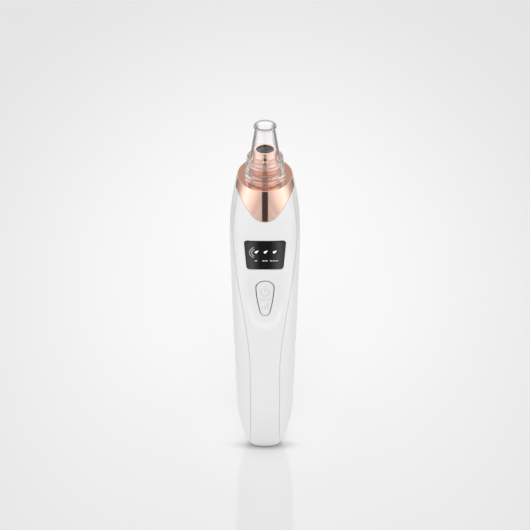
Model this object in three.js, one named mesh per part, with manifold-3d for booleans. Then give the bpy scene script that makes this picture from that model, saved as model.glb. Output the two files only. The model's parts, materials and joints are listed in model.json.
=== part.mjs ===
// Handheld pore vacuum: a slim upright hand tool with a clear suction head, a plated collar,
// a white two-piece body with a display window and a teardrop button, and a small diaphragm pump inside.
// Millimetres, +Z along the body to the suction head, front facing -Y, origin at the middle of the foot.
import * as THREE from "three";
import { mergeVertices } from "three/addons/utils/BufferGeometryUtils.js";
import Module from "manifold-3d";

// Clearances
const CLEAR = 0.3;
const SEAM_GAP = 0.35;
const SLIP = 0.12;
const EDGE_BREAK = 0.3;
const PAST = 1;

// Body skin from foot to crown
const FOOT_HALF_WIDTH = 7.6;
const FOOT_HALF_DEPTH = 4.7;
const HEEL_HEIGHT = 33;
const HEEL_ROUND_WIDTH = 1.5;
const HEEL_ROUND_DEPTH = 1.8;
const GRIP_HALF_WIDTH = 15.35;
const GRIP_DEPTH_MARGIN = 4;
const SHOULDER_HEIGHT = 131;
const SHOULDER_HALF_WIDTH = 18;
const SHOULDER_DEPTH_MARGIN = 8.9;
const CROWN_HEIGHT = 167.2;
const CROWN_HALF_WIDTH = 13.95;
const CROWN_DEPTH_MARGIN = 7.2;
const CROWN_ROUND = 0.35;
const FOOT_SQUARENESS = 2.3;
const FRONT_SQUARENESS = 3.8;
const CROWN_SQUARENESS = 2;
const WALL = 2.2;
const SKIN_SEGMENTS = 36;
const INNER_SEGMENTS = 24;

// Finger scallops on both sides of the grip
const SCALLOP_LOW = 28.5;
const SCALLOP_PITCH = 14;
const SCALLOP_COUNT = 3;
const SCALLOP_DEPTH = 0.45;

// Front panel outline and its edge with the collar
const SEAM_NARROW = 7.7;
const SEAM_WIDE = 16.3;
const SEAM_LOW = 54;
const SEAM_HIGH = 144;
const SEAM_EDGE = 1.3;
const SPLIT_DEPTH = 6.5;
const EDGE_DROP = 17.4;
const EDGE_RISE = 12.2;
const EDGE_HALF_WIDTH = 15;
const EDGE_CURVE = 1.25;

// Display window and its indicators
const WINDOW_DROP = 10.8;
const WINDOW_HEIGHT = 17.3;
const WINDOW_HALF_LOW = 9.15;
const WINDOW_HALF_HIGH = 10.6;
const WINDOW_CORNER = 1.6;
const WINDOW_SUNK = 0.15;
const WINDOW_THICK = 1.5;
const DROP_SHARE = 0.607;
const DROP_SPACING = 4.6;
const DROP_LEAN = -0.9;
const DROP_RADIUS = 0.6;
const DROP_TIP = 1.7;

// Teardrop button and the thumb scoop round it
const BUTTON_DROP = 7.6;
const BUTTON_LENGTH = 22.5;
const BUTTON_RADIUS_HIGH = 4.6;
const BUTTON_RADIUS_LOW = 2.6;
const BUTTON_PROUD = 0.2;
const BUTTON_GAP = 0.45;
const BUTTON_LIP = 0.95;
const BUTTON_FLANGE = 0.8;
const BUTTON_TRAVEL = 0.35;
const NUB_RADIUS = 1.2;
const NUB_LENGTH = 0.3;
const SCOOP_RISE = 15.2;
const SCOOP_OUTER_HALF = 9.4;
const SCOOP_OUTER_DROP = 24;
const SCOOP_INNER_HALF = 7.6;
const SCOOP_INNER_DROP = 20.2;
const SCOOP_FADE_DROP = 2.7;
const SCOOP_FADE_RISE = 6.4;
const SCOOP_DEPTH = 1.4;

// Collar and nozzle
const COLLAR_TOP = 2.4;
const COLLAR_SCREW_SHARE = 0.6;
const SPIGOT_WALL = 1.1;
const SPIGOT_DROP = 3.8;
const NOZZLE_RADIUS = 8.1;
const NOZZLE_BAND_RADIUS = 8.25;
const NOZZLE_BAND_LOW = 5.8;
const NOZZLE_BAND_HIGH = 7.2;
const NOZZLE_NECK_RADIUS = 6.3;
const NOZZLE_NECK_LOW = 7.8;
const NOZZLE_FLANK_HIGH = 12.6;
const NOZZLE_TOP = 14.8;
const NOZZLE_LIP_RADIUS = 5.75;
const NOZZLE_LIP_ROUND = 0.4;
const NOZZLE_STEP = 0.2;
const CUP_RADIUS = 4.45;
const CUP_DEPTH = 3.6;
const AIR_BORE = 1.1;
const NOZZLE_FLANGE_HALF_WIDTH = 10.2;
const NOZZLE_FLANGE_HALF_DEPTH = 12.8;
const NOZZLE_FLANGE = 1.5;
const NOZZLE_SCREW_REACH = 10.4;
const BARB_RADIUS = 2;
const BARB_BEAD = 2.35;
const BARB_LENGTH = 8;
const BARB_TIP = 1.2;
const BARB_BACK = 2;
const SEAL_HEIGHT = 3.2;
const SEAL_WIRE = 0.55;
const FILTER_THICK = 2.7;
const TURN_SEGMENTS = 24;

// Clear suction head
const HEAD_HEIGHT = 28.1;
const HEAD_FLANGE_RADIUS = 10.4;
const HEAD_FLANGE = 1.5;
const SKIRT_RADIUS_LOW = 9.9;
const SKIRT_RADIUS_HIGH = 9.15;
const SKIRT_HEIGHT = 10.1;
const SKIRT_ROUND = 0.45;
const CONE_FILLET = 0.45;
const CONE_SHOULDER = 0.9;
const SKIRT_BORE_CLEAR = 0.1;
const CONE_RADIUS_LOW = 7.75;
const CONE_RADIUS_HIGH = 5;
const CONE_WALL = 0.82;
const LIP_RADIUS = 5.7;
const LIP_HEIGHT = 1.7;
const LIP_ROUND = 0.6;
const LIP_FLARE = 0.5;
const MOUTH_RADIUS = 4.3;

// Boards
const BOARD_THICK = 1.2;
const BOARD_MARGIN = 0.9;
const MAIN_BOARD_HALF = 8.8;
const SWITCH_SIDE = 4.5;
const SWITCH_HEIGHT = 1.4;
const PLUNGER_RADIUS = 1.1;
const PLUNGER_RISE = 0.5;
const PLUNGER_LENGTH = 1.3;
const BOSS_RADIUS = 2.3;
const PILOT_DEPTH = 3;
const SCREW_RADIUS = 0.75;
const SCREW_HOLE = 0.95;
const SCREW_HEAD_RADIUS = 1.5;
const SCREW_HEAD = 0.9;
const LED_WIDTH = 2;
const LED_RISE = 1;
const LED_HEIGHT = 1.4;
const LED_WELL = 1.9;
const MASK_HALF_WIDTH = 8.2;
const MASK_HALF_HEIGHT = 6;
const CHIP_SIDE = 5;
const CHIP_RISE = 0.9;

// Charging end
const SOCKET_HALF_WIDTH = 4.45;
const SOCKET_HALF_DEPTH = 1.6;
const SOCKET_LENGTH = 7.4;
const SOCKET_SUNK = 0.8;
const SOCKET_WALL = 0.35;
const SOCKET_FLOOR = 1;
const SOCKET_BEHIND = 0.8;
const TONGUE_HALF_WIDTH = 3.2;
const TONGUE_HALF_DEPTH = 0.4;
const CHARGE_BOARD_LOW = 3;
const CHARGE_BOARD_HIGH = 24;
const CHARGE_BOARD_HALF = 6.6;
const RAIL_LOW = 8;
const RAIL_HIGH = 20;
const RAIL_DEPTH = 2.2;
const RAIL_OVERLAP = 1;

// Battery
const BATTERY_RADIUS = 7;
const BATTERY_LENGTH = 48.5;
const BATTERY_LOW = 25;
const BATTERY_BEHIND = 3;
const BATTERY_CAP_RADIUS = 2.6;
const BATTERY_CAP = 0.7;
const BATTERY_EDGE = 0.5;
const RIB_THICK = 1.6;
const BATTERY_RIBS = [0.2, 0.8];
const PUMP_RIBS = [0.15, 0.85];

// Motor and pump, stacked upwards from the motor's foot
const PUMP_GAP = 0.16;
const MOTOR_GAP = 2.9;
const END_CAP = 2;
const CAN_RADIUS = 10;
const CAN_LENGTH = 22;
const CAN_WALL = 1;
const CAN_EDGE = 0.8;
const PLUG_DEPTH = 1.5;
const PLUG_WALL = 1.2;
const SHAFT_RADIUS = 1;
const SHAFT_SHORT = 0.4;
const WHEEL_CAP = 1;
const BUSH_RADIUS = 2.4;
const BUSH_LENGTH = 2;
const MAGNET_THICK = 1.3;
const MAGNET_LENGTH = 13;
const MAGNET_SWEEP = 2.1;
const ROTOR_RADIUS = 6.7;
const ROTOR_LENGTH = 11;
const ROTOR_CORE = 2.9;
const POLE_NECK = 1.3;
const POLE_SHOE = 1.5;
const POLE_SWEEP = 1.66;
const COMMUTATOR_RADIUS = 2.3;
const COMMUTATOR_LENGTH = 3;
const SLEEVE_THICK = 1.4;
const SLEEVE_RISE = 5.6;
const SLEEVE_LENGTH = 13;
const PUMP_OVERHANG = 1;
const PUMP_WALL = 1.6;
const BASE_FLOOR = 2;
const BASE_HEIGHT = 12.4;
const WHEEL_RADIUS = 4.6;
const WHEEL_THICK = 3.6;
const PIN_RADIUS = 0.7;
const PIN_OFFSET_LOW = 2.9;
const PIN_OFFSET_HIGH = 1;
const PIN_RISE = 3.4;
const PIN_FLOOR = 0.6;
const HUB_RADIUS = 3.7;
const HUB_BORE = 2.75;
const HUB_HEIGHT = 3;
const HUB_ROOF = 0.6;
const ARM_REACH = 6;
const ARM_RADIUS = 2.3;
const ARM_THICK = 1.5;
const ARM_WIDTH = 2.6;
const STEM_RADIUS = 0.85;
const STEM_CLEAR = 0.45;
const STEM_PAST = 0.6;
const SWING_CLEAR = 0.9;
const DIAPHRAGM_THICK = 1.2;
const CUP_STEP = 0.8;
const CUP_STEP_RADIUS = 2.6;
const VALVE_PLATE = 1.8;
const PORT_RADIUS = 0.7;
const PORT_REACH = 2.2;
const VALVE_RADIUS = 3.6;
const VALVE_THICK = 0.6;
const VALVE_STEM_SHORT = 0.4;
const HEAD_CHAMBER = 2;
const PUMP_HEAD = 5.2;
const PUMP_HEAD_EDGE = 1;
const INLET_RADIUS = 1.9;
const INLET_LENGTH = 7;
const INLET_BORE = 1;
const INLET_BEAD = 0.3;
const OUTLET_RADIUS = 1.5;
const OUTLET_LENGTH = 2.6;
const OUTLET_REACH = 7.4;
const LUG_OVERHANG = 0.7;
const LUG_RADIUS = 2;
const LUG_HEIGHT = 6;
const PUMP_SCREW_GRIP = 4.5;
const HOSE_WALL = 1.1;

// Wires
const WIRE_RADIUS = 0.55;
const WIRE_SEGMENTS = 3;
const WIRE_STEPS = 12;
const CHARGE_WIRE_X = 2.2;
const BATTERY_WIRE_X = 4.6;
const MOTOR_WIRE_X = 7;
const WIRE_BOARD_LAP = 1.6;
const WIRE_RUN_UP = 3;

const FAR = 40;

// The body is as deep as its motor needs, and the heights follow each other down the front and up the inside
const gripHalfDepth = CAN_RADIUS + GRIP_DEPTH_MARGIN;
const shoulderHalfDepth = CAN_RADIUS + SHOULDER_DEPTH_MARGIN;
const crownHalfDepth = CAN_RADIUS + CROWN_DEPTH_MARGIN;
const pumpRadius = CAN_RADIUS + PUMP_OVERHANG;
const lugReach = pumpRadius + LUG_OVERHANG;
const edgeLow = CROWN_HEIGHT - EDGE_DROP;
const edgeHigh = edgeLow + EDGE_RISE;
const windowHigh = edgeLow - WINDOW_DROP;
const windowLow = windowHigh - WINDOW_HEIGHT;
const dropHeight = windowLow + WINDOW_HEIGHT * DROP_SHARE;
const buttonLow = windowLow - BUTTON_DROP - BUTTON_LENGTH;
const scoopMiddle = buttonLow + SCOOP_RISE;
const scoopFadeHigh = windowLow - SCOOP_FADE_DROP;
const scoopFadeLow = buttonLow + SCOOP_FADE_RISE;
const batteryHigh = BATTERY_LOW + BATTERY_LENGTH;
const motorLow = batteryHigh + MOTOR_GAP;
const sleeveLow = motorLow + SLEEVE_RISE;

const wasm = await Module();
wasm.setup();

// Turns three.js geometry into a closed solid, leaving out the faces that shrink to a line on the axis.
function solid(geometry) {
  const loose = geometry.index ? geometry.toNonIndexed() : geometry;
  const bare = new THREE.BufferGeometry().setAttribute("position", loose.getAttribute("position"));
  const merged = mergeVertices(bare, 1e-4);
  const index = merged.index.array;
  const triVerts = [];
  for (let i = 0; i < index.length; i += 3) {
    const [a, b, c] = [index[i], index[i + 1], index[i + 2]];
    if (a !== b && b !== c && a !== c) triVerts.push(a, b, c);
  }
  return new wasm.Manifold(
    new wasm.Mesh({
      numProp: 3,
      vertProperties: merged.attributes.position.array,
      triVerts: new Uint32Array(triVerts),
    }),
  );
}

// Turns a solid back into three.js geometry.
function geometryOf(body) {
  const mesh = body.getMesh();
  const geometry = new THREE.BufferGeometry();
  geometry.setAttribute("position", new THREE.BufferAttribute(mesh.vertProperties, 3));
  geometry.setIndex(new THREE.BufferAttribute(mesh.triVerts, 1));
  geometry.computeVertexNormals();
  return geometry;
}

// Lathe about Z: points are [radius, height], walked either way round.
function turnedGeometry(points, segments) {
  const onAxis = points[0][0] === 0;
  const loop = onAxis ? points : [...points, points[0]];
  let area = 0;
  for (let i = 0; i + 1 < loop.length; i++) {
    area += loop[i][0] * loop[i + 1][1] - loop[i + 1][0] * loop[i][1];
  }
  const walked = area > 0 ? loop : [...loop].reverse();
  const profile = walked.map(([radius, height]) => new THREE.Vector2(radius, height));
  return new THREE.LatheGeometry(profile, segments).rotateX(Math.PI / 2);
}

// A lathed solid on the vertical axis through x, y.
function turned(points, segments = TURN_SEGMENTS, x = 0, y = 0) {
  return solid(turnedGeometry(points, segments).translate(x, y, 0));
}

// A round bar along Z.
function bar(radius, low, high, x = 0, y = 0, segments = 12) {
  const geometry = new THREE.CylinderGeometry(radius, radius, high - low, segments);
  return solid(geometry.rotateX(Math.PI / 2).translate(x, y, (low + high) / 2));
}

// A round bar along Y.
function barY(radius, front, back, x, z, segments = 12) {
  const geometry = new THREE.CylinderGeometry(radius, radius, back - front, segments);
  return solid(geometry.translate(x, (front + back) / 2, z));
}

// A box given by its two corners.
function block(from, to) {
  const size = to.map((v, i) => v - from[i]);
  const middle = to.map((v, i) => (v + from[i]) / 2);
  return solid(new THREE.BoxGeometry(...size).translate(...middle));
}

// An outline in the XZ plane, pushed along Y from front to back.
function prismY(shape, front, back, curveSegments = 8) {
  const options = { depth: back - front, bevelEnabled: false, curveSegments };
  const geometry = new THREE.ExtrudeGeometry(shape, options);
  return solid(geometry.rotateX(Math.PI / 2).translate(0, back, 0));
}

// An outline in the XY plane, pushed along Z from low to high.
function prismZ(shape, low, high, curveSegments = 8) {
  const options = { depth: high - low, bevelEnabled: false, curveSegments };
  const geometry = new THREE.ExtrudeGeometry(shape, options);
  return solid(geometry.translate(0, 0, low));
}

const mix = (from, to, share) => from + (to - from) * share;
const clamp01 = (value) => Math.min(Math.max(value, 0), 1);
const ease = (value) => clamp01(value) ** 2 * (3 - 2 * clamp01(value));

// Half size of the skin at a height: rounded heel, straight taper, then a curve in to the crown.
function halfSize(z, foot, grip, shoulder, crown, round) {
  if (z < HEEL_HEIGHT) {
    const rest = 1 - Math.max(z, 0) / HEEL_HEIGHT;
    return mix(foot, grip, (1 - rest ** round) ** (1 / round));
  }
  if (z < SHOULDER_HEIGHT) {
    return mix(grip, shoulder, (z - HEEL_HEIGHT) / (SHOULDER_HEIGHT - HEEL_HEIGHT));
  }
  return mix(shoulder, crown, ((z - SHOULDER_HEIGHT) / (CROWN_HEIGHT - SHOULDER_HEIGHT)) ** 2);
}

const halfWidth = (z) =>
  halfSize(z, FOOT_HALF_WIDTH, GRIP_HALF_WIDTH, SHOULDER_HALF_WIDTH, CROWN_HALF_WIDTH, HEEL_ROUND_WIDTH);
const halfDepth = (z) =>
  halfSize(z, FOOT_HALF_DEPTH, gripHalfDepth, shoulderHalfDepth, crownHalfDepth, HEEL_ROUND_DEPTH);

// How square the section is: oval at the foot and the crown, flatter-faced at the window.
function squareness(z) {
  if (z < windowLow) return mix(FOOT_SQUARENESS, FRONT_SQUARENESS, ease(z / windowLow));
  return mix(FRONT_SQUARENESS, CROWN_SQUARENESS, ease((z - windowHigh) / (CROWN_HEIGHT - windowHigh)));
}

// Depth of the finger scallops at a height.
function scallop(z) {
  const turn = (z - SCALLOP_LOW) / SCALLOP_PITCH;
  if (turn < 0 || turn > SCALLOP_COUNT) return 0;
  return (SCALLOP_DEPTH * (1 - Math.cos(2 * Math.PI * turn))) / 2;
}

// Depth of the thumb scoop at a place on the front: steep below, fading out above the button.
function scoop(x, z) {
  const below = Math.max(scoopMiddle - z, 0);
  const outer = Math.hypot(x / SCOOP_OUTER_HALF, below / SCOOP_OUTER_DROP);
  const inner = Math.hypot(x / SCOOP_INNER_HALF, below / SCOOP_INNER_DROP);
  if (outer >= 1) return 0;
  const wall = inner <= 1 ? 1 : (1 - outer) / (1 - outer + inner - 1);
  const fade = ease((scoopFadeHigh - z) / (scoopFadeHigh - scoopFadeLow));
  return SCOOP_DEPTH * ease(wall) * fade;
}

// Ring heights of a skin, closer together at the heel and where the outer skin has scallops or the scoop.
function skinRings(low, dense) {
  const rings = [];
  const heelRings = dense === "plain" ? 4 : 6;
  for (let i = 0; i < heelRings; i++) {
    rings.push(mix(low, HEEL_HEIGHT, 1 - Math.cos(((i / heelRings) * Math.PI) / 2)));
  }
  const scallopTop = SCALLOP_LOW + SCALLOP_PITCH * SCALLOP_COUNT;
  const scoopLow = scoopMiddle - SCOOP_OUTER_DROP;
  const top = CROWN_HEIGHT - CROWN_ROUND;
  const spans = [
    [HEEL_HEIGHT, scallopTop, dense === "scallops" ? 4 * SCALLOP_COUNT : 3],
    [scallopTop, scoopLow, 1],
    [scoopLow, scoopFadeHigh, dense === "scoop" ? 9 : 3],
    [scoopFadeHigh, top, 6],
  ];
  for (const [from, to, count] of spans) {
    for (let i = 0; i < count; i++) rings.push(mix(from, to, i / count));
  }
  rings.push(top);
  return rings;
}

// The closed skin of the whole body, drawn in by an inset. A skin that isn't plain carries scallops and scoop.
function skin(inset, { dense = "plain", low = 0, high = CROWN_HEIGHT } = {}) {
  const dressed = dense !== "plain";
  const rings = skinRings(low, dense);
  const rounds = dressed ? [0.5, 0.85, 1] : [1];
  for (const share of rounds) rings.push(mix(CROWN_HEIGHT - CROWN_ROUND, high, share));
  const points = [[0, rings[0]], ...rings.map((z) => [1, z]), [0, rings[rings.length - 1]]];
  const geometry = turnedGeometry(points, dressed ? SKIN_SEGMENTS : INNER_SEGMENTS);
  const place = geometry.getAttribute("position");
  for (let i = 0; i < place.count; i++) {
    const [u, v, z] = [place.getX(i), place.getY(i), place.getZ(i)];
    const reach = Math.hypot(u, v);
    if (reach < 0.5) continue;
    const [c, s] = [u / reach, v / reach];
    const power = squareness(z);
    const scale = (Math.abs(c) ** power + Math.abs(s) ** power) ** (-1 / power);
    const climb = clamp01((z - CROWN_HEIGHT + CROWN_ROUND) / CROWN_ROUND);
    const rounding = dressed ? CROWN_ROUND * (1 - Math.sqrt(1 - climb ** 2)) : 0;
    let x = (halfWidth(z) - inset - rounding) * scale * c;
    let y = (halfDepth(z) - inset - rounding) * scale * s;
    if (dressed) {
      x -= Math.sign(x) * scallop(z) * Math.abs(c) ** 4;
      if (y < 0) y += scoop(x, z);
    }
    place.setXY(i, x, y);
  }
  return solid(geometry);
}

// Half width of the front panel at a height.
function seamHalf(z) {
  const swept = mix(SEAM_NARROW, SEAM_WIDE, ease((z - SEAM_LOW) / (SEAM_HIGH - SEAM_LOW)));
  return Math.min(swept, halfWidth(Math.min(z, CROWN_HEIGHT)) - SEAM_EDGE);
}

// The front panel's outline as a block, grown sideways and backwards by a margin.
function panelBlock(grow) {
  const steps = 18;
  const low = -FAR;
  const right = [];
  right.push(new THREE.Vector2(seamHalf(0) + grow, low));
  for (let i = 0; i <= steps; i++) {
    const z = mix(0, CROWN_HEIGHT, i / steps);
    right.push(new THREE.Vector2(seamHalf(z) + grow, z));
  }
  const left = right.map((p) => new THREE.Vector2(-p.x, p.y)).reverse();
  return prismY(new THREE.Shape([...right, ...left]), -FAR, -SPLIT_DEPTH + grow);
}

// Everything above the curved edge between body and collar, moved up by a lift.
function aboveEdge(lift) {
  const steps = 16;
  const points = [new THREE.Vector2(-FAR, edgeHigh + lift)];
  for (let i = 0; i <= steps; i++) {
    const x = mix(-EDGE_HALF_WIDTH, EDGE_HALF_WIDTH, i / steps);
    const climb = ease(Math.abs(x / EDGE_HALF_WIDTH) ** EDGE_CURVE);
    points.push(new THREE.Vector2(x, mix(edgeLow, edgeHigh, climb) + lift));
  }
  points.push(new THREE.Vector2(FAR, edgeHigh + lift));
  points.push(new THREE.Vector2(FAR, CROWN_HEIGHT + FAR), new THREE.Vector2(-FAR, CROWN_HEIGHT + FAR));
  return prismY(new THREE.Shape(points), -FAR, FAR);
}

// The window's outline, a trapezoid with rounded corners, grown by a margin.
function windowShape(grow) {
  const low = windowLow - grow;
  const high = windowHigh + grow;
  const [wide, narrow] = [WINDOW_HALF_HIGH + grow, WINDOW_HALF_LOW + grow];
  const round = WINDOW_CORNER + grow;
  const lean = (round * (wide - narrow)) / (high - low);
  const shape = new THREE.Shape();
  shape.moveTo(-narrow + round, low);
  shape.lineTo(narrow - round, low);
  shape.quadraticCurveTo(narrow, low, narrow + lean, low + round);
  shape.lineTo(wide - lean, high - round);
  shape.quadraticCurveTo(wide, high, wide - round, high);
  shape.lineTo(-wide + round, high);
  shape.quadraticCurveTo(-wide, high, -wide + lean, high - round);
  shape.lineTo(-narrow - lean, low + round);
  shape.quadraticCurveTo(-narrow, low, -narrow + round, low);
  return shape;
}

// A teardrop outline: a large arc above, a small arc below and the two straight flanks that touch both.
function teardrop(x, low, length, radiusHigh, radiusLow, grow) {
  const [big, small] = [radiusHigh + grow, radiusLow + grow];
  const highMiddle = low + length - radiusHigh;
  const lowMiddle = low + radiusLow;
  const tilt = Math.asin((big - small) / (highMiddle - lowMiddle));
  const shape = new THREE.Shape();
  shape.absarc(x, highMiddle, big, -tilt, Math.PI + tilt, false);
  shape.absarc(x, lowMiddle, small, Math.PI + tilt, 2 * Math.PI - tilt, false);
  shape.closePath();
  return shape;
}

// A drop with its point leaning to one side, for the indicators.
function dropShape(x, grow) {
  const shape = new THREE.Shape();
  const reach = DROP_TIP + 2 * grow;
  const radius = DROP_RADIUS + grow;
  const facing = Math.PI / 2 + DROP_LEAN;
  const spread = Math.acos(radius / reach);
  const start = facing + spread;
  shape.moveTo(x + reach * Math.cos(facing), dropHeight + reach * Math.sin(facing));
  shape.lineTo(x + radius * Math.cos(start), dropHeight + radius * Math.sin(start));
  shape.absarc(x, dropHeight, radius, start, 2 * Math.PI + facing - spread, false);
  shape.closePath();
  return shape;
}

// A rounded slot outline in the XY plane.
function slotShape(y, halfLong, halfShort) {
  const shape = new THREE.Shape();
  shape.absarc(halfLong - halfShort, y, halfShort, -Math.PI / 2, Math.PI / 2, false);
  shape.absarc(-halfLong + halfShort, y, halfShort, Math.PI / 2, (3 * Math.PI) / 2, false);
  shape.closePath();
  return shape;
}

// A wire or hose along a curve: the hollow is left out when the bore is zero.
function tube(points, radius, bore, segments, steps) {
  const path = new THREE.CatmullRomCurve3(points.map((p) => new THREE.Vector3(...p)));
  const shape = new THREE.Shape();
  shape.absarc(0, 0, radius, 0, 2 * Math.PI, false);
  if (bore > 0) {
    const hole = new THREE.Path();
    hole.absarc(0, 0, bore, 0, 2 * Math.PI, true);
    shape.holes.push(hole);
  }
  return solid(new THREE.ExtrudeGeometry(shape, { extrudePath: path, steps, curveSegments: segments }));
}

// A machine screw along Z with its head at the low end.
function screwUp(x, y, headLow, tip) {
  const head = bar(SCREW_HEAD_RADIUS, headLow, headLow + SCREW_HEAD, x, y, 12);
  return head.add(bar(SCREW_RADIUS, headLow + SCREW_HEAD / 2, tip, x, y, 12));
}

const finishes = {
  white: new THREE.MeshStandardMaterial({ color: 0xf1f1ef, roughness: 0.35, metalness: 0 }),
  roseGold: new THREE.MeshStandardMaterial({ color: 0xdca58c, roughness: 0.15, metalness: 1 }),
  clear: new THREE.MeshStandardMaterial({
    color: 0xf2f4f5,
    roughness: 0.05,
    metalness: 0,
    transparent: true,
    opacity: 0.35,
  }),
  gloss: new THREE.MeshStandardMaterial({ color: 0x121314, roughness: 0.08, metalness: 0 }),
  foam: new THREE.MeshStandardMaterial({ color: 0x8e9092, roughness: 0.95, metalness: 0 }),
  rubber: new THREE.MeshStandardMaterial({ color: 0x2a2a2c, roughness: 0.8, metalness: 0 }),
  silicone: new THREE.MeshStandardMaterial({ color: 0xd9dcdc, roughness: 0.5, metalness: 0 }),
  board: new THREE.MeshStandardMaterial({ color: 0x1f5a37, roughness: 0.5, metalness: 0 }),
  black: new THREE.MeshStandardMaterial({ color: 0x1d1e20, roughness: 0.55, metalness: 0 }),
  steel: new THREE.MeshStandardMaterial({ color: 0xb6b9bc, roughness: 0.3, metalness: 1 }),
  brass: new THREE.MeshStandardMaterial({ color: 0xc29a4e, roughness: 0.35, metalness: 1 }),
  light: new THREE.MeshStandardMaterial({ color: 0xfafafa, roughness: 0.3, metalness: 0 }),
  battery: new THREE.MeshStandardMaterial({ color: 0x2f6fb2, roughness: 0.4, metalness: 0 }),
  red: new THREE.MeshStandardMaterial({ color: 0xb3261e, roughness: 0.5, metalness: 0 }),
  magnet: new THREE.MeshStandardMaterial({ color: 0x4a4b4d, roughness: 0.7, metalness: 0.2 }),
};

const group = new THREE.Group();

// Adds one named piece to the group.
function piece(name, body, finish) {
  const mesh = new THREE.Mesh(geometryOf(body), finish);
  mesh.name = name;
  group.add(mesh);
}

// Skins shared by the shells, the collar and the pieces that follow the front
const frontSkin = skin(0, { dense: "scoop" });
const sideSkin = skin(0, { dense: "scallops" });
const innerSkin = skin(WALL, { low: WALL, high: CROWN_HEIGHT + PAST });
const bodyRoom = innerSkin.add(aboveEdge(-SEAM_GAP / 2));
const behindWall = skin(WALL + CLEAR, { low: WALL + CLEAR });

// Front to back order of the button, its switch and the main board
const flangeFront = -(halfDepth(buttonLow - BUTTON_LIP) - WALL - CLEAR);
const flangeBack = flangeFront + BUTTON_FLANGE;
const nubTip = flangeBack + NUB_LENGTH;
const plungerTip = nubTip + SLIP;
const switchFront = plungerTip + PLUNGER_RISE;
const boardFront = switchFront + SWITCH_HEIGHT + SLIP;
const boardBack = boardFront + BOARD_THICK;
const buttonMiddle = buttonLow + BUTTON_LENGTH / 2;
const spigotLow = edgeLow - SPIGOT_DROP;
const boardScrewLow = buttonLow - BUTTON_LIP - BOSS_RADIUS - SLIP;
const boardLow = boardScrewLow - BOSS_RADIUS - BOARD_MARGIN;
const maskLow = dropHeight - MASK_HALF_HEIGHT;
const chipMiddle = (buttonMiddle + SWITCH_SIDE / 2 + maskLow) / 2;
const sleeveRadius = CAN_RADIUS + SLIP + SLEEVE_THICK;
const pumpBehind = boardBack + SLIP + SCREW_HEAD + PUMP_GAP + sleeveRadius;
const boardScrewHigh = spigotLow - BOSS_RADIUS - 2 * CLEAR;
const boardHigh = boardScrewHigh + BOSS_RADIUS;

// Front panel with its holes and board bosses
const bossStock = skin(WALL - CLEAR, { low: WALL });
const bosses = [boardScrewLow, boardScrewHigh].map((z) =>
  barY(BOSS_RADIUS, -FAR, boardFront - SLIP, 0, z)
    .intersect(bossStock)
    .subtract(barY(SCREW_HOLE, boardFront - PILOT_DEPTH, boardFront + PAST, 0, z, 12)),
);
const buttonOutline = (grow) =>
  teardrop(0, buttonLow, BUTTON_LENGTH, BUTTON_RADIUS_HIGH, BUTTON_RADIUS_LOW, grow);
let frontPanel = frontSkin
  .subtract(bodyRoom)
  .intersect(panelBlock(-SEAM_GAP / 2))
  .subtract(prismY(windowShape(CLEAR), -FAR, -SPLIT_DEPTH))
  .subtract(prismY(buttonOutline(BUTTON_GAP), -FAR, -SPLIT_DEPTH));
for (const boss of bosses) frontPanel = frontPanel.add(boss);
piece("front_panel", frontPanel, finishes.white);

// Display window with three drop-shaped indicators
const windowPlate = skin(WINDOW_SUNK)
  .subtract(skin(WINDOW_SUNK + WINDOW_THICK))
  .intersect(prismY(windowShape(0), -FAR, -SPLIT_DEPTH));
const indicators = { indicator_left: -DROP_SPACING, indicator_middle: 0, indicator_right: DROP_SPACING };
let windowBody = windowPlate;
for (const [name, x] of Object.entries(indicators)) {
  windowBody = windowBody.subtract(prismY(dropShape(x, SLIP), -FAR, -SPLIT_DEPTH, 5));
  piece(name, windowPlate.intersect(prismY(dropShape(x, 0), -FAR, -SPLIT_DEPTH, 5)), finishes.light);
}
piece("display_window", windowBody, finishes.gloss);

// Black spacer that keeps the three lights apart
let mask = behindWall.intersect(
  block(
    [-MASK_HALF_WIDTH, -FAR, maskLow],
    [MASK_HALF_WIDTH, boardFront - SLIP, maskLow + 2 * MASK_HALF_HEIGHT],
  ),
);
for (const x of Object.values(indicators)) {
  mask = mask.subtract(barY(LED_WELL, -FAR, boardFront + PAST, x, dropHeight, 12));
}
piece("light_mask", mask, finishes.black);

// Teardrop button: cap, hidden flange and the nub that presses the switch
const buttonCap = skin(-BUTTON_PROUD, { dense: "scoop" })
  .intersect(prismY(buttonOutline(0), -FAR, flangeFront + BUTTON_FLANGE / 2))
  .add(prismY(buttonOutline(BUTTON_LIP), flangeFront, flangeBack))
  .add(barY(NUB_RADIUS, flangeFront, nubTip, 0, buttonMiddle, 12));
piece("power_button", buttonCap, finishes.white);

// Rear shell: wraps sides, back and foot, with ribs for battery and pump and rails for the charging board
const socketFront = SOCKET_BEHIND - SOCKET_HALF_DEPTH;
const chargeBack = socketFront - SLIP;
const chargeFront = chargeBack - BOARD_THICK;
const ribStock = skin(WALL / 2, { low: WALL / 2 }).intersect(
  block([-FAR, 0, -PAST], [FAR, FAR, CROWN_HEIGHT]),
);
const portShape = slotShape(SOCKET_BEHIND, SOCKET_HALF_WIDTH + CLEAR, SOCKET_HALF_DEPTH + CLEAR);
let rearShell = sideSkin
  .subtract(bodyRoom)
  .subtract(panelBlock(SEAM_GAP / 2))
  .subtract(prismZ(portShape, -PAST, WALL + PAST))
  .subtract(bar(sleeveRadius + CLEAR, sleeveLow - CLEAR, sleeveLow + SLEEVE_LENGTH + CLEAR, 0, pumpBehind, 20));
const rib = (z, keepOut) =>
  ribStock.intersect(block([-FAR, 0, z - RIB_THICK / 2], [FAR, FAR, z + RIB_THICK / 2])).subtract(keepOut);
const batteryRoom = bar(BATTERY_RADIUS + CLEAR, 0, CROWN_HEIGHT, 0, BATTERY_BEHIND, 20);
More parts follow.
